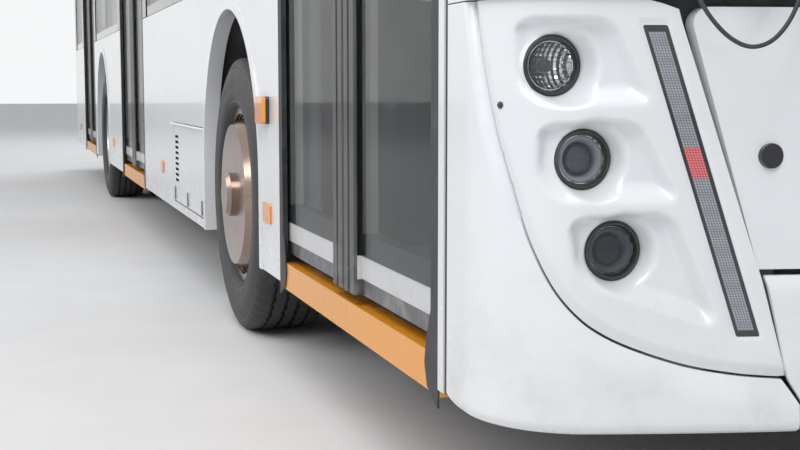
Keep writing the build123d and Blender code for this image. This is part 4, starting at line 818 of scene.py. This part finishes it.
BULB = (
    (0.0, -0.0420),
    (0.0120, -0.0410),
    (0.0120, -0.0300),
    (0.0105, -0.0245),
    (0.0060, -0.0212),
    (0.0, -0.0200),
)
RING = (
    (0.0290, -0.0290),
    (0.0370, -0.0120),
    (0.0370, -0.0080),
    (0.0330, -0.0080),
    (0.0300, -0.0120),
    (0.0265, -0.0270),
)
PROJECTOR = (
    (0.0, -0.0380),
    (0.0250, -0.0300),
    (0.0270, -0.0220),
    (0.0225, -0.0130),
    (0.0130, -0.0080),
    (0.0, -0.0062),
)
# From the lowest lamp up: name, finish of the glass, what stands in the bowl and its finish
LAMP_KINDS = (
    ("lower", "lamp_smoked", PROJECTOR, "lamp_lens"),
    ("middle", "lamp_clear", PROJECTOR, "lamp_lens"),
    ("upper", "lamp_clear", BULB, "lamp_black"),
)


def front_lamps():
    cans = sorted(islands("head_lamps"), key=lambda box: (box[0][1] > 0, box[0][2]))
    for index, (low, high) in enumerate(cans):
        name, glass, inner, inner_finish = LAMP_KINDS[index % 3]
        label = f"{name}_{'left' if index > 2 else 'right'}"
        centre = Vector((high[0] - LAMP_DOME, (low[1] + high[1]) / 2, (low[2] + high[2]) / 2))
        place = Matrix.Translation(centre) @ Matrix.Rotation(math.radians(90), 4, "Y")
        rows = [
            ("can", CAN, "lamp_black", "black_plastic", 35),
            ("bowl", BOWL, "lamp_bowl", "lamp_glass", 35),
            ("glass", GLASS, glass, "lamp_glass", 60),
            ("inner", inner, inner_finish, "lamp_glass", 35),
        ]
        if inner is PROJECTOR:
            rows.append(("ring", RING, "lamp_ring", "black_plastic", 35))
        for piece, outline, finish, slot, angle in rows:
            form = turned(outline, place)
            made = smooth_piece(f"lamp_{piece}_{label}", [form], finish, "hull", slot, angle)
            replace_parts(made, "head_lamps")


front_lamps()


# Front skins: lamp panels and bumper as curved sheets over the same plan curve as the solids
NOSE_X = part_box("front_bumper")[1][0]
HALF_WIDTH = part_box("front_bumper")[1][1]
JOINT_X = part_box("front_bumper")[0][0]
BUMPER_LOW_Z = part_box("front_bumper")[0][2]
PANEL_TOP_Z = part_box("lamp_panels")[1][2] - 0.002
BOW_R, CORNER_R = 4.090, 0.200
PANEL_INSET = 0.009
SKIN_T = 0.010
HALF_GAP = 0.0022
PANEL_STEP, CORNER_STEP, MIDDLE_STEP = 0.0042, 0.008, 0.012


class Plan:
    """The front's plan curve: a bow, a round corner and the straight side, by the length along it."""

    yc = HALF_WIDTH - CORNER_R
    xc = NOSE_X - BOW_R + math.sqrt((BOW_R - CORNER_R) ** 2 - yc**2)
    turn = math.asin(yc / (BOW_R - CORNER_R))
    bow_end = BOW_R * turn
    corner_end = bow_end + CORNER_R * (math.pi / 2 - turn)

    @classmethod
    def at(cls, run, inset):
        """The place at this length from the middle and this far inside, and the way out."""
        side = math.copysign(1.0, run)
        run = abs(run)
        if run > cls.corner_end:
            return cls.xc - (run - cls.corner_end), side * (HALF_WIDTH - inset), 0.0, side
        if run > cls.bow_end:
            angle = cls.turn + (run - cls.bow_end) / CORNER_R
            x, y, radius = cls.xc, cls.yc, CORNER_R
        else:
            angle = run / BOW_R
            x, y, radius = NOSE_X - BOW_R, 0.0, BOW_R
        out_x, out_y = math.cos(angle), math.sin(angle)
        return x + (radius - inset) * out_x, side * (y + (radius - inset) * out_y), out_x, side * out_y

    @classmethod
    def of_y(cls, y, inset=0.0):
        """The length along the curve at this y."""
        angle = math.asin(y / (BOW_R - inset))
        if angle <= cls.turn:
            return BOW_R * angle
        return cls.bow_end + CORNER_R * (math.asin(min(1.0, (y - cls.yc) / (CORNER_R - inset))) - cls.turn)

    @classmethod
    def of_x(cls, x):
        """The length along the curve at this x."""
        if x < cls.xc:
            return cls.corner_end + cls.xc - x
        if x < cls.xc + CORNER_R * math.cos(cls.turn):
            return cls.bow_end + CORNER_R * (math.acos((x - cls.xc) / CORNER_R) - cls.turn)
        return BOW_R * math.acos((x - NOSE_X + BOW_R) / BOW_R)


# The joint between lamp panel and bumper corner, as x and z, from its top down to the panel's tip
SEAM_POINTS = (
    (5.667, 0.973),
    (5.689, 0.902),
    (5.710, 0.832),
    (5.738, 0.748),
    (5.768, 0.666),
    (5.796, 0.576),
    (5.829, 0.491),
    (5.855, 0.431),
    (5.883, 0.388),
    (5.905, 0.368),
    (5.922, 0.360),
)


def between(a, b, c, d, u):
    """A smooth value on the way from b to c, with a before them and d after them."""
    square, cube = 2 * a - 5 * b + 4 * c - d, 3 * b - a - 3 * c + d
    return 0.5 * (2 * b + (c - a) * u + square * u**2 + cube * u**3)


def smooth_line(points, steps=8):
    """A curve through the points."""
    made = []
    ends = [points[0], *points, points[-1]]
    for p, q, r, t in zip(ends, ends[1:], ends[2:], ends[3:]):
        for step in range(steps):
            made.append(tuple(between(*values, step / steps) for values in zip(p, q, r, t)))
    return made + [points[-1]]


def shifted(line, distance):
    """The line moved sideways, to its left where the distance is positive."""
    made = []
    for i, point in enumerate(line):
        before, after = line[max(0, i - 1)], line[min(len(line) - 1, i + 1)]
        dx, dz = after[0] - before[0], after[1] - before[1]
        long = math.hypot(dx, dz)
        made.append((point[0] - dz / long * distance, point[1] + dx / long * distance))
    return made


def rounded(points, radius):
    """A closed outline with its corners rounded."""
    made = []
    for i, corner in enumerate(points):
        before, after = Vector(points[i - 1]), Vector(points[(i + 1) % len(points)])
        corner = Vector(corner)
        cut = min(radius, (before - corner).length * 0.45, (after - corner).length * 0.45)
        start = corner + (before - corner).normalized() * cut
        end = corner + (after - corner).normalized() * cut
        for step in range(6):
            u = step / 5
            made.append(tuple(start * (1 - u) ** 2 + corner * 2 * u * (1 - u) + end * u**2))
    return made


def divided(points, step):
    """A closed outline with long edges cut into short ones."""
    made = []
    for p, q in zip(points, points[1:] + points[:1]):
        count = max(1, math.ceil(math.dist(p, q) / step))
        dx, dz = q[0] - p[0], q[1] - p[1]
        made += [(p[0] + dx * i / count, p[1] + dz * i / count) for i in range(count)]
    return made


def edge_distance(point, line, closed=False):
    """How far a point is from a line of points."""
    best = math.inf
    pairs = zip(line, line[1:] + line[:1]) if closed else zip(line, line[1:])
    for p, q in pairs:
        dx, dz = q[0] - p[0], q[1] - p[1]
        square = dx * dx + dz * dz
        if square == 0:
            continue
        share = max(0.0, min(1.0, ((point[0] - p[0]) * dx + (point[1] - p[1]) * dz) / square))
        best = min(best, math.hypot(point[0] - p[0] - dx * share, point[1] - p[1] - dz * share))
    return best


def contains(point, outline):
    """Whether a point is inside a closed outline."""
    inside = False
    for p, q in zip(outline, outline[1:] + outline[:1]):
        if (p[1] > point[1]) != (q[1] > point[1]):
            if point[0] < p[0] + (q[0] - p[0]) * (point[1] - p[1]) / (q[1] - p[1]):
                inside = not inside
    return inside


def tree_of(points):
    """A search tree of flat points."""
    tree = KDTree(len(points))
    for i, (u, v) in enumerate(points):
        tree.insert((u, v, 0.0), i)
    tree.balance()
    return tree


def sheet_mesh(outline, holes, place, step, rings=()):
    """A thick sheet over a flat outline with holes; place gives the front and back of a flat point."""
    loops = [divided(outline, step)] + [divided(hole, step) for hole in holes]
    points, constraints = [], []
    for loop in loops:
        start = len(points)
        points += loop
        constraints += [(start + i, start + (i + 1) % len(loop)) for i in range(len(loop))]
    rim = len(points)
    points += rings
    taken = tree_of(points)

    def in_sheet(point):
        return contains(point, loops[0]) and not any(contains(point, hole) for hole in loops[1:])

    low = [min(p[i] for p in loops[0]) for i in (0, 1)]
    high = [max(p[i] for p in loops[0]) for i in (0, 1)]
    for i in range(int((high[0] - low[0]) / step)):
        for j in range(int((high[1] - low[1]) / step)):
            point = (low[0] + (i + 0.5 + 0.5 * (j % 2)) * step, low[1] + (j + 0.5) * step)
            if taken.find((*point, 0.0))[2] > step * 0.7 and in_sheet(point):
                points.append(point)
    net = delaunay_2d_cdt([Vector(p) for p in points], constraints, [], 1, 1e-7)
    flat, triangles, sources = net[0], net[2], net[3]
    border = [not source or min(source) < rim for source in sources]
    kept = []
    for triangle in triangles:
        centre = [sum(flat[i][axis] for i in triangle) / 3 for axis in (0, 1)]
        if not all(border[i] for i in triangle) or in_sheet(centre):
            kept.append(list(triangle))
    fronts, backs = zip(*[place(p[0], p[1]) for p in flat])
    total = len(flat)
    faces = [list(reversed(t)) for t in kept] + [[i + total for i in t] for t in kept]
    used = {(a, b) for triangle in kept for a, b in zip(triangle, triangle[1:] + triangle[:1])}
    faces += [[a, b, b + total, a + total] for a, b in used if (b, a) not in used]
    return list(fronts) + list(backs), faces


def mirrored(form):
    """The same form on the other side of the bus."""
    vertices, faces = form
    return [Vector((v[0], -v[1], v[2])) for v in vertices], [list(reversed(face)) for face in faces]


def ease(value):
    """A soft step from 0 to 1."""
    value = max(0.0, min(1.0, value))
    return value * value * (3 - 2 * value)


def soft_min(a, b, blend):
    """The smaller of two values, rounded where they are close."""
    share = max(0.0, min(1.0, 0.5 + 0.5 * (b - a) / blend))
    return b * (1 - share) + a * share - blend * share * (1 - share)


seam = smooth_line([(Plan.of_x(x), z) for x, z in SEAM_POINTS])
# The lamp panel's lowest tip
TIP_Y, TIP_Z = 0.7885, 0.364
# The panel's inner edge, as y and z, from the tip up
INNER_EDGE = (
    (0.832, 0.520),
    (0.863, 0.611),
    (0.970, 0.933),
    (0.975, 0.951),
    (1.000, 0.9600),
    (1.040, PANEL_TOP_Z),
)
# For each lamp from the lowest up: the four rounds of its hollow, as y inwards and z from it, and radius
DISHES = (
    ((-0.054, 0.028, 0.034), (0.046, 0.014, 0.054), (0.132, -0.104, 0.020), (-0.026, -0.008, 0.056)),
    ((-0.050, 0.028, 0.034), (0.042, 0.014, 0.052), (0.118, -0.056, 0.016), (-0.026, -0.016, 0.058)),
    ((-0.032, 0.045, 0.034), (0.046, 0.024, 0.052), (0.120, -0.050, 0.016), (-0.008, -0.016, 0.056)),
)
DISH_DEPTH = 0.024
UPPER_SLOPE, LOWER_SLOPE = 0.016, 0.040
# The sheet stands out in a cone round each lamp and drops steeply into its hole
CONE_SLOPE, CONE_BLEND, CONE_REACH = 0.062 / 0.024, 0.014, 0.06
HOLE_SLOPE, HOLE_BLEND = 5.0, 0.004
HOLE_LIP = 0.0015
LAMP_HOLE_R, RING_STEP = LAMP_R + 0.0004, 0.0032
LAMPS = []
for low, high in islands("head_lamps"):
    if low[1] < 0:
        LAMPS.append((high[0] - LAMP_DOME, -(low[1] + high[1]) / 2, (low[2] + high[2]) / 2))
LAMPS.sort(key=lambda lamp: lamp[2])
# The light strip's slot: half its width, and how far across it one metre of y goes
STRIP_HALF, STRIP_SLANT = 0.0184, 0.953
SLOT_LIP, SLOT_LIP_REACH = 0.0022, 0.006
SLOT_END = 0.0005
EDGE_ROLL, EDGE_ROLL_DEPTH = 0.024, 0.007


def hull(rounds, y, z):
    """The outline round four circles, as corner points and the outward normal of each edge."""
    points = []
    for dy, dz, radius in rounds:
        for step in range(24):
            angle = 2 * math.pi * step / 24
            points.append((y - dy + radius * math.cos(angle), z + dz + radius * math.sin(angle)))
    points.sort()
    outline = []
    for ordered in (points, points[::-1]):
        chain = []
        for p in ordered:
            while len(chain) > 1:
                (ax, az), (bx, bz) = chain[-2:]
                if (bx - ax) * (p[1] - az) - (bz - az) * (p[0] - ax) > 0:
                    break
                chain.pop()
            chain.append(p)
        outline += chain[:-1]
    edges = []
    for p, q in zip(outline, outline[1:] + outline[:1]):
        long = math.dist(p, q)
        if long > 1e-6:
            edges.append((p, ((q[1] - p[1]) / long, (p[0] - q[0]) / long)))
    return edges


dish_hulls = [hull(rounds, *lamp[1:]) for rounds, lamp in zip(DISHES, LAMPS)]


def dish_depth(y, z):
    """How deep the hollows round the lamps are at this place."""
    deepest = 0.0
    for edges in dish_hulls:
        share = 1.0
        for (py, pz), (ny, nz) in edges:
            inside = -((y - py) * ny + (z - pz) * nz)
            slope = LOWER_SLOPE + (UPPER_SLOPE - LOWER_SLOPE) * ease(0.5 + nz * 0.6)
            share = min(share, inside / slope)
        deepest = max(deepest, DISH_DEPTH * ease(share))
    return deepest


def panel_point(run, z):
    """Front and back of the lamp panel's skin: rolled edges, hollows, and the cones that the lamps sit in."""
    edge = ease(edge_distance((run, z), seam) / EDGE_ROLL)
    across = abs(Plan.at(run, PANEL_INSET)[1] - strip_line(z)) * STRIP_SLANT - STRIP_HALF
    in_strip = STRIP_BOTTOM[1] - SLOT_LIP_REACH < z < STRIP_TOP[1] + SLOT_LIP_REACH
    lip = SLOT_LIP * (1 - ease(across / SLOT_LIP_REACH)) if in_strip else 0.0
    x, y, out_x, out_y = Plan.at(run, PANEL_INSET + EDGE_ROLL_DEPTH * (1 - edge) + lip)
    front = x - dish_depth(y, z) * (0.35 + 0.65 * ease(out_x / 0.5))
    for lamp_x, lamp_y, lamp_z in LAMPS:
        around = math.hypot(y - lamp_y, z - lamp_z) - LAMP_HOLE_R
        if around < CONE_REACH:
            around = max(0.0, around)
            front = soft_min(front, lamp_x + HOLE_LIP + around * CONE_SLOPE, CONE_BLEND)
            front = -soft_min(-front, -(lamp_x - HOLE_LIP - around * HOLE_SLOPE), HOLE_BLEND)
    depth = SKIN_T / max(0.45, out_x)
    return Vector((front, -y, z)), Vector((front - depth * out_x, -(y - depth * 0.4 * out_y), z))


def lamp_circle(y, z, radius, count=72):
    """A circle round a lamp as seen from the front, as flat points of the sheet."""
    angles = [2 * math.pi * (step + 0.5) / count for step in range(count)]
    return [(Plan.of_y(y + radius * math.cos(a), PANEL_INSET), z + radius * math.sin(a)) for a in angles]


def lamp_rings():
    """Points in rings round the lamps, where the sheet curves most."""
    return [
        point
        for lamp in LAMPS
        for ring in range(1, 10)
        for point in lamp_circle(*lamp[1:], LAMP_HOLE_R + RING_STEP * ring)
    ]


def lamp_panel():
    outline = shifted(seam, -HALF_GAP)
    tip = [(Plan.of_y(TIP_Y), TIP_Z)] + [(Plan.of_y(y), z) for y, z in INNER_EDGE]
    outline = outline[:-1] + tip + [(outline[0][0], PANEL_TOP_Z)]
    outline = [p for p in outline if p[1] <= PANEL_TOP_Z + 1e-9]
    holes = [lamp_circle(*lamp[1:], LAMP_HOLE_R) for lamp in LAMPS]
    corners = []
    for z, ways in ((STRIP_TOP[1] + SLOT_END, (1, -1)), (STRIP_BOTTOM[1] - SLOT_END, (-1, 1))):
        for way in ways:
            corners.append((Plan.of_y(strip_line(z) + way * STRIP_HALF / STRIP_SLANT, PANEL_INSET), z))
    holes.append(rounded(corners, 0.004))
    return sheet_mesh(outline, holes, panel_point, PANEL_STEP, lamp_rings())


# Bumper: its lower edge rolls under, the corner is bevelled along the lamp panel, the middle's top rolls back
LOWER_ROLL = 0.020
BEVEL_WIDE, BEVEL_NARROW, BEVEL_DEPTH = 0.050, 0.016, 0.016
BEVEL_FROM_Z, BEVEL_RISE = 0.42, 0.30
TOP_ROLL, TOP_ROLL_DEPTH = 0.022, 0.010
OUTLINE_LOW_Z = BUMPER_LOW_Z + 0.0005
CORNER_REAR_X = JOINT_X + 0.0005
# The gap between corner and middle, as y and z of both its sides, and the middle's outline above it
CORNER_EDGE = ((0.768, 0.318), (0.766, OUTLINE_LOW_Z))
MIDDLE_TOP_Z = 0.529
MIDDLE_EDGE = ((0.829, MIDDLE_TOP_Z), (0.788, 0.360), (0.762, 0.318), (0.760, OUTLINE_LOW_Z))


def bumper_point(run, z, inset):
    """Front and back of the bumper's skin, this far inside the plan curve."""
    low = max(0.0, min(1.0, (z - BUMPER_LOW_Z) / LOWER_ROLL))
    x, y, out_x, out_y = Plan.at(run, inset + LOWER_ROLL * (1 - math.sqrt(1 - (1 - low) ** 2)))
    return Vector((x, -y, z)), Vector((x - SKIN_T * out_x, -(y - SKIN_T * out_y), z))


def corner_point(run, z):
    bevel = BEVEL_WIDE + (BEVEL_NARROW - BEVEL_WIDE) * ease((z - BEVEL_FROM_Z) / BEVEL_RISE)
    share = min(1.0, edge_distance((run, z), seam) / bevel)
    return bumper_point(run, z, BEVEL_DEPTH * (1 - share) ** 1.5)


def middle_point(run, z):
    top = MIDDLE_TOP_Z - z
    return bumper_point(run, z, TOP_ROLL_DEPTH * (1 - ease(top / TOP_ROLL)))


def bumper_corner():
    rear = Plan.of_x(CORNER_REAR_X)
    line = [p for p in shifted(seam, HALF_GAP) if p[1] <= PANEL_TOP_Z]
    outline = line + [(Plan.of_y(y), z) for y, z in CORNER_EDGE]
    outline += [(Plan.of_x(5.62), OUTLINE_LOW_Z + 0.004), (rear, OUTLINE_LOW_Z + 0.020)]
    outline += [(rear, PANEL_TOP_Z), (line[0][0], PANEL_TOP_Z)]
    return sheet_mesh(outline, [], corner_point, CORNER_STEP)


def bumper_middle():
    half = [(Plan.of_y(y), z) for y, z in MIDDLE_EDGE]
    outline = half + [(-run, z) for run, z in reversed(half)]
    return sheet_mesh(rounded(outline, 0.006), [], middle_point, MIDDLE_STEP)


def front_skins():
    panel, corner = lamp_panel(), bumper_corner()
    rows = (
        ("lamp_panel_right", panel, "lamp_panels"),
        ("bumper_corner_right", corner, "front_bumper"),
        ("lamp_panel_left", mirrored(panel), "lamp_panels"),
        ("bumper_corner_left", mirrored(corner), "front_bumper"),
        ("bumper_middle", bumper_middle(), "front_bumper"),
    )
    for name, form, replaced in rows:
        made = smooth_piece(name, [form], "moulded_white", "hull", "moulded_white", 50)
        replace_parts(made, replaced)


front_skins()


# Rivets beside the joint of the lamp panel
RIVET_X, RIVET_Z, RIVET_IN = 5.736, 0.801, 0.013
RIVET = (
    (0.0, -0.004),
    (0.0055, -0.004),
    (0.0058, 0.0),
    (0.0052, 0.0022),
    (0.0034, 0.0034),
    (0.0, 0.0038),
)


def rivets():
    run = Plan.of_x(RIVET_X) - RIVET_IN
    out_x, out_y = Plan.at(run, 0.0)[2:]
    spot = panel_point(run, RIVET_Z)[0]
    parts = []
    for way in (1, -1):
        facing = Vector((out_x, -way * out_y, 0)).to_track_quat("Z", "Y").to_matrix().to_4x4()
        parts.append(turned(RIVET, Matrix.Translation((spot.x, way * spot.y, spot.z)) @ facing, 24))
    smooth_piece("panel_rivets", parts, "lamp_black", "hull", "black_plastic")


rivets()


# Seats: a thin moulded shell on a leg, with a squab pad and a back pad for each place
SQUAB_TOP, BACK_TOP, SEAT_DEPTH, SEAT_LEAN = 0.430, 0.990, 0.430, 0.070
SHELL_T, PAD_T = 0.026, 0.045
FOLD_R = 0.075
LEG_TOP = SQUAB_TOP - 0.052
WING, NARROWING = 0.016, 0.10
# Sewn channels of a pad: where they cross it and how wide they are, as shares of half its width
CHANNELS, CHANNEL_WIDTH = (-0.52, 0.52), 0.035
PULL_IN, CORNER_CUT = 0.018, 0.05
ACROSS, AHEAD, UP = Vector((0, 1, 0)), Vector((1, 0, 0)), Vector((0, 0, 1))


def shell_path():
    """The shell's inner line seen from the side, from the front lip to the top of the back."""
    front, rear = SEAT_DEPTH / 2, -SEAT_DEPTH / 2
    base = SQUAB_TOP - 0.034
    points = [(front - 0.002, base - 0.022), (front - 0.012, base - 0.004), (front - 0.035, base)]
    fold_x, fold_z = rear + 0.120, base - 0.004
    points += [(fold_x, fold_z)]
    for step in range(1, 7):
        turn = math.radians(100) * step / 7
        points.append((fold_x - FOLD_R * math.sin(turn), fold_z + FOLD_R * (1 - math.cos(turn))))
    back_x, back_z, rise = rear + 0.044, base + 0.09, BACK_TOP - base - 0.095
    for step in range(1, 9):
        share = step / 8
        points.append((back_x - SEAT_LEAN * share, back_z + rise * share))
    return points


def seat_shell(x, y, z, width):
    """One place's shell, swept across its width, with its sides turned a little forward."""
    inner = shell_path()
    rows, columns = len(inner), 13
    vertices, faces = [], []
    for column in range(columns):
        across = 2 * column / (columns - 1) - 1
        wing = WING * abs(across) ** 4
        for i, (px, pz) in enumerate(inner):
            after, before = inner[min(i + 1, rows - 1)], inner[max(i - 1, 0)]
            run = Vector((after[0] - before[0], 0, after[1] - before[1])).normalized()
            out = Vector((run.z, 0, -run.x))
            narrow = 1 - NARROWING * max(0.0, (pz - 0.38) / 0.6) ** 3
            spot = Vector((x + px, y + across * width / 2 * narrow, z + pz))
            vertices += [spot + out * -wing, spot + out * SHELL_T]

    def face(*places):
        faces.append([(column * rows + row) * 2 + back for column, row, back in places])

    for c in range(columns - 1):
        for r in range(rows - 1):
            face((c, r, 0), (c, r + 1, 0), (c + 1, r + 1, 0), (c + 1, r, 0))
            face((c, r, 1), (c + 1, r, 1), (c + 1, r + 1, 1), (c, r + 1, 1))
        for r in (0, rows - 1):
            face((c, r, 0), (c + 1, r, 0), (c + 1, r, 1), (c, r, 1))
    for c in (0, columns - 1):
        for r in range(rows - 1):
            face((c, r, 0), (c, r, 1), (c, r + 1, 1), (c, r + 1, 0))
    return vertices, faces


def pad(centre, across, along, normal, width, length):
    """A crowned pad whose sides pull in between its corners, with two sewn channels."""
    columns, rows = 24, 20
    vertices, faces, index = [], [], {}
    for face_side in (1, -1):
        for i in range(columns + 1):
            for j in range(rows + 1):
                u, v = 2 * i / columns - 1, 2 * j / rows - 1
                rim = i in (0, columns) or j in (0, rows)
                if rim and face_side < 0:
                    index[face_side, i, j] = index[1, i, j]
                    continue
                crown = ((1 - abs(u) ** 3.4) * (1 - abs(v) ** 3.4)) ** 0.42
                sewn = sum(math.exp(-(((u - place) / CHANNEL_WIDTH) ** 2)) for place in CHANNELS)
                sewn *= 0.16 * (abs(v) < 0.93)
                rise = PAD_T * crown * ((1 - sewn) if face_side > 0 else -0.28)
                x = u * width / 2 * (1 - PULL_IN * (1 - v * v)) * (1 - CORNER_CUT * abs(v) ** 6)
                y = v * length / 2 * (1 - PULL_IN * (1 - u * u)) * (1 - CORNER_CUT * abs(u) ** 6)
                index[face_side, i, j] = len(vertices)
                vertices.append(centre + across * x + along * y + normal * rise * 0.72)
        for i in range(columns):
            for j in range(rows):
                corners = [index[face_side, *c] for c in ((i, j), (i + 1, j), (i + 1, j + 1), (i, j + 1))]
                faces.append(corners if face_side > 0 else corners[::-1])
    return vertices, faces


def leg(x, y, z, top):
    """A pedestal that narrows towards the seat, as rings of height, half length and half width."""
    rings = [(0.0, 0.120, 0.050), (0.012, 0.120, 0.050), (0.03, 0.095, 0.036)]
    rings += [(top - 0.06, 0.080, 0.030), (top, 0.11, 0.04)]
    vertices, faces = [], []
    count = 24
    for height, deep, wide in rings:
        for step in range(count):
            angle = 2 * math.pi * (step + 0.5) / count
            c, s = math.cos(angle), math.sin(angle)
            along = math.copysign(abs(c) ** 0.4, c) * deep
            across = math.copysign(abs(s) ** 0.4, s) * wide
            vertices.append(Vector((x + along, y + across, z + height)))
    top_ring = (len(rings) - 1) * count
    for low in range(0, top_ring, count):
        for step in range(count):
            after = (step + 1) % count
            faces.append([low + step, low + after, low + count + after, low + count + step])
    faces.append(list(range(count))[::-1])
    faces.append([top_ring + step for step in range(count)])
    return vertices, faces


def pad_piece(name, form, node):
    """A soft pad that takes the place of part of a CAD seat."""
    piece = smooth_piece(name, [form], "seat_blue", "hull", "seat_blue", 80)
    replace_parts(piece, node)


def place_pads(label, x, y, z, width, node):
    """The squab pad and the back pad of one place."""
    tilt = Vector((-SEAT_LEAN, 0, BACK_TOP - SQUAB_TOP)).normalized()
    facing = Vector((tilt.z, 0, -tilt.x))
    squab_at = Vector((x + 0.028, y, z + SQUAB_TOP - 0.022))
    back_at = Vector((x - SEAT_DEPTH / 2 + 0.062, y, z + SQUAB_TOP + 0.09)) + tilt * 0.215
    pad_piece(f"squab_pad_{label}", pad(squab_at, ACROSS, -AHEAD, UP, width, 0.34), node)
    pad_piece(f"back_pad_{label}", pad(back_at, ACROSS, tilt, facing, width, 0.42), node)


def benches():
    shells = []
    for number, (low, high) in enumerate(sorted(islands("seats")), 1):
        x, z = high[0] - SEAT_DEPTH / 2, low[2]
        width = (high[1] - low[1]) / 2
        for half, sign in (("a", -1), ("b", 1)):
            y = (low[1] + high[1]) / 2 + sign * width / 2
            shells.append(seat_shell(x, y, z, width - 0.024))
            place_pads(f"{number}{half}", x, y, z, width - 0.07, "seats")
        shells.append(leg(x, (low[1] + high[1]) / 2, z, LEG_TOP))
    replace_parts(smooth_piece("seat_shells", shells, "seat_shell", "hull", "seat_blue"), "seats")


def driver_place():
    low, high = islands("driver_seat")[0]
    x, y, z = high[0] - SEAT_DEPTH / 2, (low[1] + high[1]) / 2, low[2]
    shells = [seat_shell(x, y, z, high[1] - low[1]), leg(x, y, z, LEG_TOP)]
    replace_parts(smooth_piece("driver_shell", shells, "seat_shell", "hull", "seat_blue"), "driver_seat")
    place_pads("driver", x, y, z, high[1] - low[1] - 0.05, "driver_seat")
    rest_at = Vector((x - SEAT_DEPTH / 2 - 0.040, y, z + BACK_TOP + 0.115))
    pad_piece("headrest", pad(rest_at, ACROSS, UP, AHEAD, 0.25, 0.17), "driver_seat")
    post = ((0, 0), (0.007, 0), (0.007, 0.10), (0.0055, 0.104), (0, 0.104))
    posts = []
    for way in (-1, 1):
        foot = Matrix.Translation((rest_at[0], y + way * 0.06, z + BACK_TOP - 0.02))
        posts.append(turned(post, foot, 24))
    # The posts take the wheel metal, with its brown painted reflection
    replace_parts(smooth_piece("headrest_posts", posts, "wheel_metal", "hull", "wheel_metal"), "driver_seat")


benches()
driver_place()


# Wheel nuts on the rear wheels
NUTS, NUT_CIRCLE_R = 10, 0.1675
NUT_R, NUT_H = 0.0185, 0.030
NUT_Y = REAR_TYRES_Y[0] - 0.046


def nut(place, radius, height):
    """A six-sided nut with a bevelled top on a round collar."""
    low = height * 0.25
    collar = ((0, 0), (radius * 1.25, 0), (radius * 1.25, height * 0.2), (radius, low), (0, low))
    body = ((0, 0), (radius, 0), (radius, height * 0.85), (radius * 0.86, height), (0, height))
    return [turned(collar, place, 24), turned(body, place, 6)]


for side, sign in (("left", 1), ("right", -1)):
    nuts = []
    facing = Matrix.Rotation(math.radians(-90 * sign), 4, "X")
    for step in range(NUTS):
        angle = 2 * math.pi * step / NUTS
        x, z = NUT_CIRCLE_R * math.cos(angle), NUT_CIRCLE_R * math.sin(angle)
        centre = Matrix.Translation((REAR_AXLE_X + x, sign * NUT_Y, AXLE_Z + z))
        nuts += nut(centre @ facing, NUT_R, NUT_H)
    smooth_piece(f"rear_nuts_{side}", nuts, "rim_steel", f"rear_wheels_{side}", "rim_steel")


# Stage, world and lamps
def floor():
    finish = Finish("floor_pale")
    cloudy = finish.cloud(3.0, 0.3, 0.7)
    finish.feed("Base Color", finish.mix(cloudy, (0.80, 0.80, 0.80), (0.83, 0.83, 0.83)))
    finish.feed("Roughness", 0.6 + finish.noise(40.0) * 0.1)
    made = bpy.data.meshes.new("floor")
    corners = [(x * 60.0, y * 60.0, 0) for x, y in ((-1, -1), (1, -1), (1, 1), (-1, 1))]
    made.from_pydata(corners, [], [(0, 1, 2, 3)])
    made.materials.append(FINISHES["floor_pale"])
    link("floor", made)


def world():
    made = bpy.data.worlds.new("studio")
    scene.world = made
    made.use_nodes = True
    tree = made.node_tree
    tree.nodes.clear()
    out = tree.nodes.new("ShaderNodeOutputWorld")
    light = tree.nodes.new("ShaderNodeBackground")
    seen = tree.nodes.new("ShaderNodeBackground")
    light.inputs["Color"].default_value = (0.93, 0.96, 1.0, 1.0)
    light.inputs["Strength"].default_value = 0.42
    seen.inputs["Color"].default_value = (0.92, 0.93, 0.94, 1.0)
    path = tree.nodes.new("ShaderNodeLightPath")
    mix = tree.nodes.new("ShaderNodeMixShader")
    straight = path.outputs["Is Camera Ray"]
    for ray in ("Is Glossy Ray", "Is Transmission Ray"):
        either = tree.nodes.new("ShaderNodeMath")
        either.operation = "MAXIMUM"
        tree.links.new(straight, either.inputs[0])
        tree.links.new(path.outputs[ray], either.inputs[1])
        straight = either.outputs[0]
    tree.links.new(straight, mix.inputs[0])
    tree.links.new(light.outputs[0], mix.inputs[1])
    tree.links.new(seen.outputs[0], mix.inputs[2])
    tree.links.new(mix.outputs[0], out.inputs[0])


def softbox(name, place, aim, size, power):
    data = bpy.data.lights.new(name, "AREA")
    data.shape = "RECTANGLE"
    data.size, data.size_y = size
    data.energy = power
    lamp = link(name, data)
    lamp.location = place
    lamp.rotation_euler = (Vector(aim) - Vector(place)).to_track_quat("-Z", "Y").to_euler()


floor()
world()
softbox("key", (11.0, -7.0, 8.0), (3.0, -0.5, 1.0), (6.0, 5.0), 430.0)
softbox("top", (8.0, -3.2, 7.5), (5.8, -1.1, 0.6), (4.0, 4.0), 260.0)
softbox("side", (-2.0, -10.0, 6.0), (0.0, -1.0, 1.0), (10.0, 4.0), 330.0)
softbox("left", (0.0, 10.0, 7.0), (0.0, 1.0, 1.0), (12.0, 5.0), 330.0)
softbox("back", (-12.0, 3.0, 7.0), (-5.0, 0.0, 1.0), (6.0, 5.0), 260.0)
